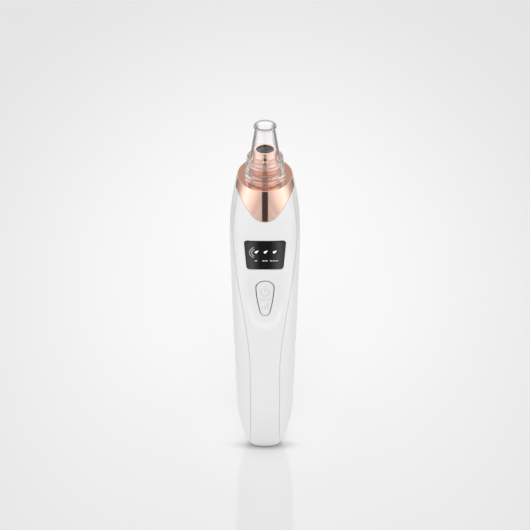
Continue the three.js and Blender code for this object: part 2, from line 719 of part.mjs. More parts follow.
for (const share of BATTERY_RIBS) {
  rearShell = rearShell.add(rib(BATTERY_LOW + BATTERY_LENGTH * share, batteryRoom));
}
const pumpRoom = bar(sleeveRadius + CLEAR, 0, CROWN_HEIGHT, 0, pumpBehind, 20);
for (const share of PUMP_RIBS) {
  rearShell = rearShell.add(rib(sleeveLow + SLEEVE_LENGTH * share, pumpRoom));
}
const railStock = skin(WALL / 2, { low: WALL / 2 });
const boardSlot = block(
  [-CHARGE_BOARD_HALF - CLEAR, chargeFront - CLEAR, 0],
  [CHARGE_BOARD_HALF + CLEAR, chargeBack + CLEAR, FAR],
);
const railReach = CHARGE_BOARD_HALF - RAIL_OVERLAP;
for (const side of [-1, 1]) {
  const xs = [side * railReach, side * FAR].sort((a, b) => a - b);
  const rail = block(
    [xs[0], chargeFront - CLEAR - RAIL_DEPTH, RAIL_LOW],
    [xs[1], chargeBack + CLEAR + RAIL_DEPTH, RAIL_HIGH],
  );
  rearShell = rearShell.add(railStock.intersect(rail).subtract(boardSlot));
}
piece("rear_shell", rearShell, finishes.white);

// Plated collar: the crown of the skin above the curved edge, with a spigot inside the shells
const nozzleHole = bar(NOZZLE_RADIUS + CLEAR, 0, CROWN_HEIGHT + PAST, 0, 0, TURN_SEGMENTS);
const collarUnder = CROWN_HEIGHT - COLLAR_TOP;
const spigotInset = WALL + CLEAR;
const belowTop = block([-FAR, -FAR, -PAST], [FAR, FAR, collarUnder]);
const aboveSpigot = block([-FAR, -FAR, spigotLow], [FAR, FAR, CROWN_HEIGHT - CROWN_ROUND]);
const screwTip = collarUnder + COLLAR_TOP * COLLAR_SCREW_SHARE;
let collar = sideSkin
  .intersect(aboveEdge(SEAM_GAP / 2))
  .add(skin(spigotInset).intersect(aboveSpigot))
  .subtract(skin(spigotInset + SPIGOT_WALL).intersect(belowTop))
  .subtract(nozzleHole);
for (const side of [-1, 1]) {
  collar = collar.subtract(
    bar(SCREW_HOLE, collarUnder - PAST, screwTip + SLIP, 0, side * NOZZLE_SCREW_REACH, 12),
  );
}
piece("collar", collar, finishes.roseGold);

// Plated nozzle: flange under the collar, post with a seal groove, cup for the filter and a barb for the hose
const nozzleFlangeTop = collarUnder - CLEAR;
const nozzleFlangeLow = nozzleFlangeTop - NOZZLE_FLANGE;
const barbEnd = nozzleFlangeLow - BARB_LENGTH;
const sealMiddle = CROWN_HEIGHT + SEAL_HEIGHT;
const sealOuter = NOZZLE_RADIUS + SKIRT_BORE_CLEAR + CLEAR / 2;
const grooveHalf = SEAL_WIRE + SLIP;
const grooveFloor = sealOuter - 2 * SEAL_WIRE - SLIP;
const cupFloor = CROWN_HEIGHT + NOZZLE_TOP - CUP_DEPTH;
const nozzlePost = turned([
  [AIR_BORE, barbEnd],
  [BARB_RADIUS, barbEnd],
  [BARB_BEAD, barbEnd + BARB_TIP],
  [BARB_RADIUS, barbEnd + BARB_BACK],
  [BARB_RADIUS, nozzleFlangeLow + NOZZLE_FLANGE / 2],
  [NOZZLE_RADIUS, nozzleFlangeLow + NOZZLE_FLANGE / 2],
  [NOZZLE_RADIUS, sealMiddle - grooveHalf],
  [grooveFloor, sealMiddle - grooveHalf],
  [grooveFloor, sealMiddle + grooveHalf],
  [NOZZLE_RADIUS, sealMiddle + grooveHalf],
  [NOZZLE_RADIUS, CROWN_HEIGHT + NOZZLE_BAND_LOW],
  [NOZZLE_BAND_RADIUS, CROWN_HEIGHT + NOZZLE_BAND_LOW + EDGE_BREAK],
  [NOZZLE_BAND_RADIUS, CROWN_HEIGHT + NOZZLE_BAND_HIGH - EDGE_BREAK],
  [NOZZLE_RADIUS - NOZZLE_STEP, CROWN_HEIGHT + NOZZLE_BAND_HIGH],
  [NOZZLE_NECK_RADIUS, CROWN_HEIGHT + NOZZLE_NECK_LOW],
  [NOZZLE_LIP_RADIUS, CROWN_HEIGHT + NOZZLE_FLANK_HIGH],
  [NOZZLE_LIP_RADIUS, CROWN_HEIGHT + NOZZLE_TOP - NOZZLE_LIP_ROUND],
  [NOZZLE_LIP_RADIUS - NOZZLE_LIP_ROUND, CROWN_HEIGHT + NOZZLE_TOP],
  [CUP_RADIUS + NOZZLE_STEP, CROWN_HEIGHT + NOZZLE_TOP],
  [CUP_RADIUS, CROWN_HEIGHT + NOZZLE_TOP - EDGE_BREAK],
  [CUP_RADIUS, cupFloor],
  [AIR_BORE, cupFloor],
]);
const flangeShape = new THREE.Shape();
flangeShape.absellipse(0, 0, NOZZLE_FLANGE_HALF_WIDTH, NOZZLE_FLANGE_HALF_DEPTH, 0, 2 * Math.PI, false, 0);
let nozzleFlange = prismZ(flangeShape, nozzleFlangeLow, nozzleFlangeTop, 8).subtract(
  bar(NOZZLE_RADIUS - PAST, nozzleFlangeLow - PAST, nozzleFlangeTop + PAST, 0, 0, TURN_SEGMENTS),
);
for (const [name, side] of [["nozzle_screw_front", -1], ["nozzle_screw_back", 1]]) {
  const y = side * NOZZLE_SCREW_REACH;
  const hole = bar(SCREW_HOLE, nozzleFlangeLow - PAST, nozzleFlangeTop + PAST, 0, y, 12);
  nozzleFlange = nozzleFlange.subtract(hole);
  piece(name, screwUp(0, y, nozzleFlangeLow - SLIP - SCREW_HEAD, screwTip), finishes.steel);
}
piece("nozzle", nozzlePost.add(nozzleFlange), finishes.roseGold);

const sealRing = new THREE.TorusGeometry(sealOuter - SEAL_WIRE, SEAL_WIRE, 6, TURN_SEGMENTS);
piece("nozzle_seal_ring", solid(sealRing.translate(0, 0, sealMiddle)), finishes.silicone);
const filterLow = cupFloor + SLIP;
piece("filter_sponge", bar(CUP_RADIUS - CLEAR, filterLow, filterLow + FILTER_THICK, 0, 0, 28), finishes.foam);

// Clear suction head: flange and skirt over the nozzle, then a cone up to the rounded mouth
const headLow = CROWN_HEIGHT + CLEAR;
const headTop = headLow + HEAD_HEIGHT;
const skirtTop = headLow + SKIRT_HEIGHT;
const skirtBore = sealOuter + SLIP;
const coneLow = skirtTop - CONE_FILLET;
const coneHigh = headTop - LIP_HEIGHT;
const innerConeLow = coneLow - CONE_SHOULDER;
piece(
  "suction_head",
  turned([
    [skirtBore, headLow],
    [HEAD_FLANGE_RADIUS - EDGE_BREAK, headLow],
    [HEAD_FLANGE_RADIUS, headLow + EDGE_BREAK],
    [HEAD_FLANGE_RADIUS, headLow + HEAD_FLANGE - EDGE_BREAK],
    [SKIRT_RADIUS_LOW, headLow + HEAD_FLANGE],
    [SKIRT_RADIUS_HIGH, skirtTop - SKIRT_ROUND],
    [SKIRT_RADIUS_HIGH - SKIRT_ROUND, skirtTop],
    [CONE_RADIUS_LOW + CONE_FILLET, skirtTop],
    [CONE_RADIUS_LOW, coneLow],
    [CONE_RADIUS_HIGH, coneHigh],
    [LIP_RADIUS - SLIP, coneHigh + LIP_FLARE],
    [LIP_RADIUS, headTop - LIP_ROUND - SLIP],
    [LIP_RADIUS - 0.4 * LIP_ROUND, headTop - LIP_ROUND / 3],
    [LIP_RADIUS - LIP_ROUND, headTop],
    [MOUTH_RADIUS + EDGE_BREAK, headTop],
    [MOUTH_RADIUS, headTop - EDGE_BREAK],
    [CONE_RADIUS_HIGH - CONE_WALL, coneHigh],
    [CONE_RADIUS_LOW - CONE_WALL, innerConeLow],
    [skirtBore, innerConeLow - CONE_SHOULDER],
  ]),
  finishes.clear,
);

// Main board on the front panel's bosses, with lights, chip and switch
let board = block(
  [-MAIN_BOARD_HALF, boardFront, boardLow],
  [MAIN_BOARD_HALF, boardBack, boardHigh],
);
for (const [name, z] of [["board_screw_low", boardScrewLow], ["board_screw_high", boardScrewHigh]]) {
  board = board.subtract(barY(SCREW_HOLE, boardFront - PAST, boardBack + PAST, 0, z, 12));
  const headFront = boardBack + SLIP;
  const screw = barY(SCREW_HEAD_RADIUS, headFront, headFront + SCREW_HEAD, 0, z, 12);
  piece(
    name,
    screw.add(barY(SCREW_RADIUS, boardFront - PILOT_DEPTH + SLIP, headFront + SCREW_HEAD / 2, 0, z, 12)),
    finishes.steel,
  );
}
piece("main_board", board, finishes.board);
for (const [name, x] of [["led_left", -DROP_SPACING], ["led_middle", 0], ["led_right", DROP_SPACING]]) {
  piece(
    name,
    block(
      [x - LED_WIDTH / 2, boardFront - SLIP - LED_RISE, dropHeight - LED_HEIGHT / 2],
      [x + LED_WIDTH / 2, boardFront - SLIP, dropHeight + LED_HEIGHT / 2],
    ),
    finishes.light,
  );
}
piece(
  "controller_chip",
  block(
    [-CHIP_SIDE / 2, boardFront - SLIP - CHIP_RISE, chipMiddle - CHIP_SIDE / 2],
    [CHIP_SIDE / 2, boardFront - SLIP, chipMiddle + CHIP_SIDE / 2],
  ),
  finishes.black,
);
const switchBack = boardFront - SLIP;
const plungerBack = plungerTip + PLUNGER_LENGTH;
piece(
  "switch_body",
  block(
    [-SWITCH_SIDE / 2, switchFront, buttonMiddle - SWITCH_SIDE / 2],
    [SWITCH_SIDE / 2, switchBack, buttonMiddle + SWITCH_SIDE / 2],
  ).subtract(
    barY(PLUNGER_RADIUS + SLIP, switchFront - PAST, plungerBack + BUTTON_TRAVEL + SLIP / 2, 0, buttonMiddle),
  ),
  finishes.black,
);
piece("switch_plunger", barY(PLUNGER_RADIUS, plungerTip, plungerBack, 0, buttonMiddle), finishes.light);

// Charging board with its socket in the foot
const socketLow = SOCKET_SUNK;
const socketHigh = SOCKET_SUNK + SOCKET_LENGTH;
const socketShape = slotShape(SOCKET_BEHIND, SOCKET_HALF_WIDTH, SOCKET_HALF_DEPTH);
const socketOuter = prismZ(socketShape, socketLow, socketHigh);
const socketInner = prismZ(
  slotShape(SOCKET_BEHIND, SOCKET_HALF_WIDTH - SOCKET_WALL, SOCKET_HALF_DEPTH - SOCKET_WALL),
  socketLow - PAST,
  socketHigh - SOCKET_FLOOR,
);
piece("socket_shell", socketOuter.subtract(socketInner), finishes.steel);
piece(
  "socket_tongue",
  block(
    [-TONGUE_HALF_WIDTH, SOCKET_BEHIND - TONGUE_HALF_DEPTH, socketLow + SOCKET_SUNK],
    [TONGUE_HALF_WIDTH, SOCKET_BEHIND + TONGUE_HALF_DEPTH, socketHigh - SOCKET_FLOOR - SLIP],
  ),
  finishes.black,
);
piece(
  "charge_board",
  block(
    [-CHARGE_BOARD_HALF, chargeFront, CHARGE_BOARD_LOW],
    [CHARGE_BOARD_HALF, chargeBack, CHARGE_BOARD_HIGH],
  ),
  finishes.board,
);

// Battery cell with a raised cap
piece(
  "battery_cell",
  turned(
    [
      [0, BATTERY_LOW],
      [BATTERY_RADIUS - BATTERY_EDGE, BATTERY_LOW],
      [BATTERY_RADIUS, BATTERY_LOW + BATTERY_EDGE],
      [BATTERY_RADIUS, batteryHigh - BATTERY_CAP - BATTERY_EDGE],
      [BATTERY_RADIUS - BATTERY_EDGE, batteryHigh - BATTERY_CAP],
      [BATTERY_CAP_RADIUS, batteryHigh - BATTERY_CAP],
      [BATTERY_CAP_RADIUS, batteryHigh],
      [0, batteryHigh],
    ],
    20,
    0,
    BATTERY_BEHIND,
  ),
  finishes.battery,
);

// Motor: can, magnets, end cap, bushes, and the rotor on its shaft
const onPump = (points, segments = 20) => turned(points, segments, 0, pumpBehind);
const canLow = motorLow + END_CAP + SLIP;
const canHigh = canLow + CAN_LENGTH;
const bushHole = BUSH_RADIUS + SLIP;
piece(
  "motor_can",
  onPump([
    [CAN_RADIUS, canLow],
    [CAN_RADIUS, canHigh - CAN_EDGE],
    [CAN_RADIUS - CAN_EDGE, canHigh],
    [bushHole, canHigh],
    [bushHole, canHigh - CAN_WALL],
    [CAN_RADIUS - CAN_WALL, canHigh - CAN_WALL],
    [CAN_RADIUS - CAN_WALL, canLow],
  ]),
  finishes.steel,
);
const plugRadius = CAN_RADIUS - CAN_WALL - SLIP;
piece(
  "motor_end_cap",
  onPump([
    [bushHole, motorLow],
    [CAN_RADIUS, motorLow],
    [CAN_RADIUS, motorLow + END_CAP],
    [plugRadius, motorLow + END_CAP],
    [plugRadius, motorLow + END_CAP + PLUG_DEPTH],
    [plugRadius - PLUG_WALL, motorLow + END_CAP + PLUG_DEPTH],
    [plugRadius - PLUG_WALL, motorLow + END_CAP],
    [bushHole, motorLow + END_CAP],
  ]),
  finishes.black,
);
const shaftHole = SHAFT_RADIUS + SLIP;
const bush = (low) =>
  onPump([
    [shaftHole, low],
    [BUSH_RADIUS, low],
    [BUSH_RADIUS, low + BUSH_LENGTH],
    [shaftHole, low + BUSH_LENGTH],
  ]);
piece("bush_low", bush(motorLow), finishes.brass);
piece("bush_high", bush(canHigh - CAN_WALL), finishes.brass);
const magnetOuter = CAN_RADIUS - CAN_WALL - SLIP;
const canMiddle = (canLow + canHigh) / 2;
for (const [name, facing] of [["magnet_left", Math.PI], ["magnet_right", 0]]) {
  const shape = new THREE.Shape();
  const half = MAGNET_SWEEP / 2;
  shape.absarc(0, pumpBehind, magnetOuter, facing - half, facing + half, false);
  shape.absarc(0, pumpBehind, magnetOuter - MAGNET_THICK, facing + half, facing - half, true);
  shape.closePath();
  piece(
    name,
    prismZ(shape, canMiddle - MAGNET_LENGTH / 2, canMiddle + MAGNET_LENGTH / 2, 10).intersect(
      bar(magnetOuter, canLow, canHigh, 0, pumpBehind, 20),
    ),
    finishes.magnet,
  );
}
const rotorLow = canMiddle - ROTOR_LENGTH / 2;
const rotorHigh = canMiddle + ROTOR_LENGTH / 2;
let rotor = bar(ROTOR_CORE, rotorLow, rotorHigh, 0, pumpBehind, 20).add(
  bar(COMMUTATOR_RADIUS, rotorLow - COMMUTATOR_LENGTH, rotorLow + PAST, 0, pumpBehind, 20),
);
for (let i = 0; i < 3; i++) {
  const facing = Math.PI / 2 + (i * 2 * Math.PI) / 3;
  const shoe = new THREE.Shape();
  shoe.absarc(0, 0, ROTOR_RADIUS, -POLE_SWEEP / 2, POLE_SWEEP / 2, false);
  shoe.absarc(0, 0, ROTOR_RADIUS - POLE_SHOE, POLE_SWEEP / 2, -POLE_SWEEP / 2, true);
  shoe.closePath();
  const pole = prismZ(shoe, rotorLow, rotorHigh, 6).add(
    block([0, -POLE_NECK, rotorLow], [ROTOR_RADIUS - POLE_SHOE / 2, POLE_NECK, rotorHigh]),
  );
  rotor = rotor.add(pole.rotate([0, 0, THREE.MathUtils.radToDeg(facing)]).translate([0, pumpBehind, 0]));
}
piece(
  "motor_rotor",
  rotor.subtract(bar(shaftHole, motorLow, canHigh, 0, pumpBehind, 12)),
  finishes.brass,
);

// Foam sleeve that carries the motor between the ribs
const sleeveBore = CAN_RADIUS + SLIP;
const sleeveHigh = sleeveLow + SLEEVE_LENGTH;
piece(
  "pump_sleeve",
  onPump([
    [sleeveBore, sleeveLow],
    [sleeveRadius, sleeveLow],
    [sleeveRadius, sleeveHigh],
    [sleeveBore, sleeveHigh],
  ]),
  finishes.foam,
);

// Pump stack above the motor
const baseLow = canHigh + SLIP;
const baseHigh = baseLow + BASE_HEIGHT;
const roomRadius = pumpRadius - PUMP_WALL;
const lug = (side, low, high) => bar(LUG_RADIUS, low, high, side * lugReach, pumpBehind, 12);
const lugHole = (side, low, high) => bar(SCREW_HOLE, low, high, side * lugReach, pumpBehind, 12);
const withLugs = (body, low, high, holeLow) => {
  let made = body;
  for (const side of [-1, 1]) {
    const room = bar(pumpRadius - PUMP_WALL / 2, low - PAST, high + PAST, 0, pumpBehind, 20);
    made = made.add(lug(side, low, high).subtract(room)).subtract(lugHole(side, holeLow, high + PAST));
  }
  return made;
};
const screwLow = baseHigh - PUMP_SCREW_GRIP;
const pumpBase = onPump([
  [bushHole + SLIP, baseLow],
  [pumpRadius, baseLow],
  [pumpRadius, baseHigh],
  [roomRadius, baseHigh],
  [roomRadius, baseLow + BASE_FLOOR],
  [bushHole + SLIP, baseLow + BASE_FLOOR],
]);
piece("pump_base", withLugs(pumpBase, baseHigh - LUG_HEIGHT, baseHigh, screwLow - SLIP), finishes.black);

// Crank wheel on the shaft, with a leaning pin that drives the swing plate
const wheelLow = baseLow + BASE_FLOOR + CLEAR;
const wheelHigh = wheelLow + WHEEL_THICK;
const pinFrom = new THREE.Vector3(0, pumpBehind + PIN_OFFSET_LOW, wheelLow + PIN_FLOOR);
const pinTo = new THREE.Vector3(0, pumpBehind + PIN_OFFSET_HIGH, wheelHigh + PIN_RISE);
function pinBar(radius, overrun) {
  const along = pinTo.clone().sub(pinFrom);
  const geometry = new THREE.CylinderGeometry(radius, radius, along.length() + overrun, 12);
  geometry.translate(0, overrun / 2, 0);
  const turn = new THREE.Quaternion().setFromUnitVectors(new THREE.Vector3(0, 1, 0), along.normalize());
  geometry.applyQuaternion(turn);
  const middle = pinFrom.clone().add(pinTo).multiplyScalar(0.5);
  return solid(geometry.translate(middle.x, middle.y, middle.z));
}
const shaftTop = wheelHigh - SLIP;
piece(
  "crank_wheel",
  bar(WHEEL_RADIUS, wheelLow, wheelHigh, 0, pumpBehind, 28)
    .subtract(bar(shaftHole, wheelLow - PAST, wheelHigh - WHEEL_CAP, 0, pumpBehind, 12))
    .subtract(pinBar(PIN_RADIUS + SLIP, PAST)),
  finishes.light,
);
piece("crank_pin", pinBar(PIN_RADIUS, 0), finishes.steel);
const shaft = bar(SHAFT_RADIUS, motorLow + SHAFT_SHORT, shaftTop - WHEEL_CAP, 0, pumpBehind, 12);
piece("motor_shaft", shaft, finishes.steel);

// Swing plate: a hub over the pin and three arms that pull the diaphragm's cups
const hubHigh = baseHigh - CUP_STEP - SWING_CLEAR;
const hubLow = hubHigh - HUB_HEIGHT;
const armLow = hubHigh - ARM_THICK;
const armAngles = [0, 1, 2].map((i) => -Math.PI / 2 + (i * 2 * Math.PI) / 3);
let swing = bar(HUB_RADIUS, hubLow, hubHigh, 0, pumpBehind, 20);
const sheetLow = baseHigh + SLIP;
const sheetRadius = roomRadius + PUMP_WALL / 2;
let cups = bar(sheetRadius, sheetLow, sheetLow + DIAPHRAGM_THICK, 0, pumpBehind, 20);
for (const angle of armAngles) {
  const [x, y] = [ARM_REACH * Math.cos(angle), pumpBehind + ARM_REACH * Math.sin(angle)];
  const arm = block([0, -ARM_WIDTH / 2, armLow], [ARM_REACH, ARM_WIDTH / 2, hubHigh])
    .rotate([0, 0, THREE.MathUtils.radToDeg(angle)])
    .translate([0, pumpBehind, 0]);
  swing = swing.add(arm).add(bar(ARM_RADIUS, armLow, hubHigh, x, y, 12));
  cups = cups
    .add(bar(CUP_STEP_RADIUS, sheetLow - CUP_STEP, sheetLow + DIAPHRAGM_THICK / 2, x, y, 12))
    .add(bar(STEM_RADIUS, armLow - STEM_PAST, sheetLow, x, y, 8));
}
for (const angle of armAngles) {
  const [x, y] = [ARM_REACH * Math.cos(angle), pumpBehind + ARM_REACH * Math.sin(angle)];
  swing = swing.subtract(bar(STEM_RADIUS + STEM_CLEAR, hubLow, hubHigh + PAST, x, y, 12));
}
swing = swing.subtract(bar(HUB_BORE, hubLow - PAST, hubHigh - HUB_ROOF, 0, pumpBehind, 20));
piece("swing_plate", swing, finishes.light);
piece("diaphragm", cups, finishes.rubber);

const plateLow = sheetLow + DIAPHRAGM_THICK + SLIP;
const plateHigh = plateLow + VALVE_PLATE;
let valvePlate = withLugs(
  bar(pumpRadius, plateLow, plateHigh, 0, pumpBehind, 20),
  plateLow,
  plateHigh,
  plateLow - PAST,
).subtract(bar(PORT_RADIUS, plateLow - PAST, plateHigh + PAST, 0, pumpBehind, 12));
for (const angle of armAngles) {
  const [x, y] = [PORT_REACH * Math.cos(angle), pumpBehind + PORT_REACH * Math.sin(angle)];
  valvePlate = valvePlate.subtract(bar(PORT_RADIUS, plateLow - PAST, plateHigh + PAST, x, y, 8));
}
piece("valve_plate", valvePlate, finishes.light);
const valveLow = plateHigh + SLIP;
piece(
  "umbrella_valve",
  bar(VALVE_RADIUS, valveLow, valveLow + VALVE_THICK, 0, pumpBehind, 20).add(
    bar(PORT_RADIUS - SLIP, plateLow + VALVE_STEM_SHORT, valveLow + VALVE_THICK / 2, 0, pumpBehind, 10),
  ),
  finishes.rubber,
);
const pumpHeadLow = plateHigh + SLIP;
const pumpHeadHigh = pumpHeadLow + PUMP_HEAD;
const inletTop = pumpHeadHigh + INLET_LENGTH;
const chamberRadius = VALVE_RADIUS + CLEAR;
const lugTop = pumpHeadLow + VALVE_PLATE;
let pumpHead = onPump([
  [chamberRadius, pumpHeadLow],
  [pumpRadius, pumpHeadLow],
  [pumpRadius, pumpHeadHigh - PUMP_HEAD_EDGE],
  [pumpRadius - PUMP_HEAD_EDGE, pumpHeadHigh],
  [INLET_RADIUS, pumpHeadHigh],
  [INLET_RADIUS, inletTop - BARB_BACK],
  [INLET_RADIUS + INLET_BEAD, inletTop - BARB_TIP],
  [INLET_RADIUS, inletTop],
  [INLET_BORE, inletTop],
  [INLET_BORE, pumpHeadLow + HEAD_CHAMBER],
  [chamberRadius, pumpHeadLow + HEAD_CHAMBER],
]);
pumpHead = withLugs(pumpHead, pumpHeadLow, lugTop, pumpHeadLow - PAST);
const outletX = OUTLET_REACH * Math.SQRT1_2;
const outletY = pumpBehind + outletX;
const outletTop = pumpHeadHigh + OUTLET_LENGTH;
pumpHead = pumpHead
  .add(bar(OUTLET_RADIUS, pumpHeadHigh - PUMP_HEAD_EDGE, outletTop, outletX, outletY, 12))
  .subtract(bar(PORT_RADIUS, pumpHeadLow - PAST, outletTop + PAST, outletX, outletY, 10));
const screwHeadLow = lugTop + SLIP;
const headRooms = [-1, 1].map((side) =>
  bar(SCREW_HEAD_RADIUS + CLEAR, lugTop, pumpHeadHigh + PAST, side * lugReach, pumpBehind, 12),
);
for (const room of headRooms) pumpHead = pumpHead.subtract(room);
piece("pump_head", pumpHead, finishes.black);
for (const [name, side] of [["pump_screw_left", -1], ["pump_screw_right", 1]]) {
  const x = side * lugReach;
  piece(
    name,
    bar(SCREW_HEAD_RADIUS, screwHeadLow, screwHeadLow + SCREW_HEAD, x, pumpBehind, 12).add(
      bar(SCREW_RADIUS, screwLow, screwHeadLow + SCREW_HEAD / 2, x, pumpBehind, 12),
    ),
    finishes.steel,
  );
}

// Silicone hose from the pump's inlet up to the nozzle's barb
const hoseBore = BARB_BEAD + SLIP + CLEAR / 2;
const hoseLow = pumpHeadHigh + CLEAR;
const hoseHigh = nozzleFlangeLow - CLEAR;
piece(
  "suction_hose",
  tube(
    [
      [0, pumpBehind, hoseLow],
      [0, pumpBehind, inletTop],
      [0, pumpBehind / 2, (inletTop + barbEnd) / 2],
      [0, 0, barbEnd],
      [0, 0, hoseHigh],
    ],
    hoseBore + HOSE_WALL,
    hoseBore,
    6,
    10,
  ),
  finishes.silicone,
);

// Wires along the front of the battery to the main board
const wireTail = boardBack + WIRE_RADIUS + CLEAR / 2;
const wireTop = boardLow + WIRE_BOARD_LAP;
const batteryFront = BATTERY_BEHIND - BATTERY_RADIUS - WIRE_RADIUS - CLEAR;
const hug = BATTERY_RADIUS + WIRE_RADIUS + CLEAR / 2;
const gapMiddle = (batteryHigh + motorLow) / 2;
const wire = (points) => tube(points, WIRE_RADIUS, 0, WIRE_SEGMENTS, WIRE_STEPS);
const chargeWires = [
  ["charge_wire_red", 1, finishes.red],
  ["charge_wire_black", -1, finishes.black],
];
for (const [name, side, finish] of chargeWires) {
  piece(
    name,
    wire([
      [side * CHARGE_WIRE_X, chargeFront - WIRE_RADIUS - CLEAR / 2, CHARGE_BOARD_HIGH - 6],
      [side * CHARGE_WIRE_X, batteryFront - 0.4, BATTERY_LOW],
      [side * CHARGE_WIRE_X, batteryFront - 2.5, (BATTERY_LOW + batteryHigh) / 2],
      [side * CHARGE_WIRE_X, wireTail - 0.6, batteryHigh - 2],
      [side * CHARGE_WIRE_X, wireTail, boardLow - WIRE_RUN_UP],
      [side * CHARGE_WIRE_X, wireTail, wireTop],
    ]),
    finish,
  );
}
piece(
  "battery_wire_red",
  wire([
    [0, BATTERY_BEHIND + 1, batteryHigh + WIRE_RADIUS + CLEAR / 2],
    [2, BATTERY_BEHIND - 5, gapMiddle],
    [BATTERY_WIRE_X - 0.4, wireTail + 1.2, gapMiddle + 1],
    [BATTERY_WIRE_X, wireTail, boardLow - WIRE_RUN_UP / 1.5],
    [BATTERY_WIRE_X, wireTail, wireTop],
  ]),
  finishes.red,
);
piece(
  "battery_wire_black",
  wire([
    [-0.8 * hug, BATTERY_BEHIND - 0.6 * hug, BATTERY_LOW + 2],
    [-0.8 * hug, BATTERY_BEHIND - 0.7 * hug, BATTERY_LOW + 14],
    [-0.8 * hug, BATTERY_BEHIND - 0.9 * hug, batteryHigh - 16],
    [-BATTERY_WIRE_X - 1, wireTail + 1, batteryHigh - 1],
    [-BATTERY_WIRE_X, wireTail, boardLow - WIRE_RUN_UP],
    [-BATTERY_WIRE_X, wireTail, wireTop],
  ]),
  finishes.black,
);
const motorWires = [
  ["motor_wire_red", 1, finishes.red],
  ["motor_wire_black", -1, finishes.black],
];
for (const [name, side, finish] of motorWires) {
  piece(
    name,
    wire([
      [side * (MOTOR_WIRE_X - 0.5), pumpBehind - 4, motorLow - WIRE_RADIUS - CLEAR / 2],
      [side * (MOTOR_WIRE_X + 0.6), pumpBehind - 9, motorLow - WIRE_RADIUS - CLEAR / 2],
      [side * (MOTOR_WIRE_X + 0.4), wireTail + 1, motorLow + 2.4],
      [side * MOTOR_WIRE_X, wireTail, boardLow - WIRE_RUN_UP / 1.5],
      [side * MOTOR_WIRE_X, wireTail, wireTop],
    ]),
    finish,
  );
}

export default group;
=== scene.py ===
"""Handheld pore vacuum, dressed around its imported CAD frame.

The visible pieces are rebuilt on finer grids from the same few sizes as the CAD part: white shells,
plated collar and nozzle, clear suction head, black window with its lights, and the teardrop button. The
pieces inside keep their CAD shapes and get their finishes here. Shapes are worked out in millimetres and
scaled to metres when each piece is finished. The front faces -Y and the suction head points up.
"""

import json
import logging
import math
from collections.abc import Callable, Sequence
from dataclasses import dataclass
from enum import Enum

import bmesh
import bpy
from mathutils import Matrix, Vector


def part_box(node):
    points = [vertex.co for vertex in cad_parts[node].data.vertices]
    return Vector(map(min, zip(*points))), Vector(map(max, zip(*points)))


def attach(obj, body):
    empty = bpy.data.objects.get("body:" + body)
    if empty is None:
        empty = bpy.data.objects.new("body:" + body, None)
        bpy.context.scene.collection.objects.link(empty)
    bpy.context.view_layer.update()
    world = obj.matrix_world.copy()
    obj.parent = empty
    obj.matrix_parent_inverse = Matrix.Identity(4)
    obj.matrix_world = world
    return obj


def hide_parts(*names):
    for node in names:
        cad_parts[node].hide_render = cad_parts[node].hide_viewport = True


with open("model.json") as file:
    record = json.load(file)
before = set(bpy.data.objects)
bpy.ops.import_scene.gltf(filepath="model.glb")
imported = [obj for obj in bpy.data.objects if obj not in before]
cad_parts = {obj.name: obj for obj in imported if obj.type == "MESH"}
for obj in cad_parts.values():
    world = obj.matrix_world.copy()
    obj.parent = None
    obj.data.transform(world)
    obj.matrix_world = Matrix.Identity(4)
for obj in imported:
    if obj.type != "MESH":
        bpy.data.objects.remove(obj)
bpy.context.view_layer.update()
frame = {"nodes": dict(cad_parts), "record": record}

LOG = logging.getLogger("pore_vacuum")
MM = 0.001
MERGE = 0.0005
FAR = 40.0
AXIS = 0.02
NUDGE = 0.01
QUARTER = math.pi / 2.0

Pair = tuple[float, float]
Triple = tuple[float, float, float]
Place = Callable[[float, float], Vector]
Surface = Callable[[float, float], float]
Path = Callable[[float], Pair]
Colour = Triple
Tones = tuple[Pair, ...]
Solid = bmesh.types.BMesh
Material = bpy.types.Material
Object = bpy.types.Object
Tree = bpy.types.NodeTree
Node = bpy.types.Node
Socket = bpy.types.NodeSocket
Feed = float | Socket


class Body(str, Enum):
    """CAD bodies that the new pieces ride on."""

    HANDLE = "handle"
    HEAD = "head"
    FILTER = "filter"
    BUTTON = "button"


class Slot(str, Enum):
    """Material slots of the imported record."""

    WHITE = "white_plastic"
    ROSE_GOLD = "rose_gold"
    CLEAR = "clear_plastic"
    BLACK_GLOSS = "black_gloss"
    LIGHT = "light_white"
    BLACK = "black_plastic"
    RED = "red_plastic"
    BOARD = "circuit_board"
    FOAM = "grey_foam"
    RUBBER = "black_rubber"
    SILICONE = "silicone"
    STEEL = "steel"
    BRASS = "brass"
    MAGNET = "magnet"
    BATTERY = "battery_wrap"


class Stretch(Enum):
    """Stretches of the walk round the collar's section."""

    RIM = "rim"
    SIDE = "side"
    CROWN = "crown"
    TOP = "top"
    UNDER = "under"
    BORE = "bore"
    FOOT = "foot"
    SEAT = "seat"


def mix(start: float, end: float, share: float) -> float:
    """Returns the value a share of the way from start to end."""
    return start + (end - start) * share


def ease(value: float) -> float:
    """Returns a smooth step from 0 to 1 over values from 0 to 1."""
    held = min(max(value, 0.0), 1.0)
    return held * held * (3.0 - 2.0 * held)


def warped_grid(columns: int, rows: int, place: Place) -> Solid:
    """Makes a grid and moves each vertex to its place, then joins the edges that meet.

    Args:
        columns: Faces along the first direction.
        rows: Faces along the second direction.
        place: Gives a point in millimetres from the two shares of the grid, each from 0 to 1.

    Returns:
        The mesh, with its faces pointing outwards.
    """
    bm = bmesh.new()
    bmesh.ops.create_grid(bm, x_segments=columns, y_segments=rows, size=0.5)
    for vert in bm.verts:
        vert.co = place(vert.co.x + 0.5, vert.co.y + 0.5)
    bmesh.ops.remove_doubles(bm, verts=bm.verts, dist=MERGE)
    bmesh.ops.dissolve_degenerate(bm, dist=MERGE / 2, edges=bm.edges)
    bmesh.ops.recalc_face_normals(bm, faces=bm.faces)
    return bm


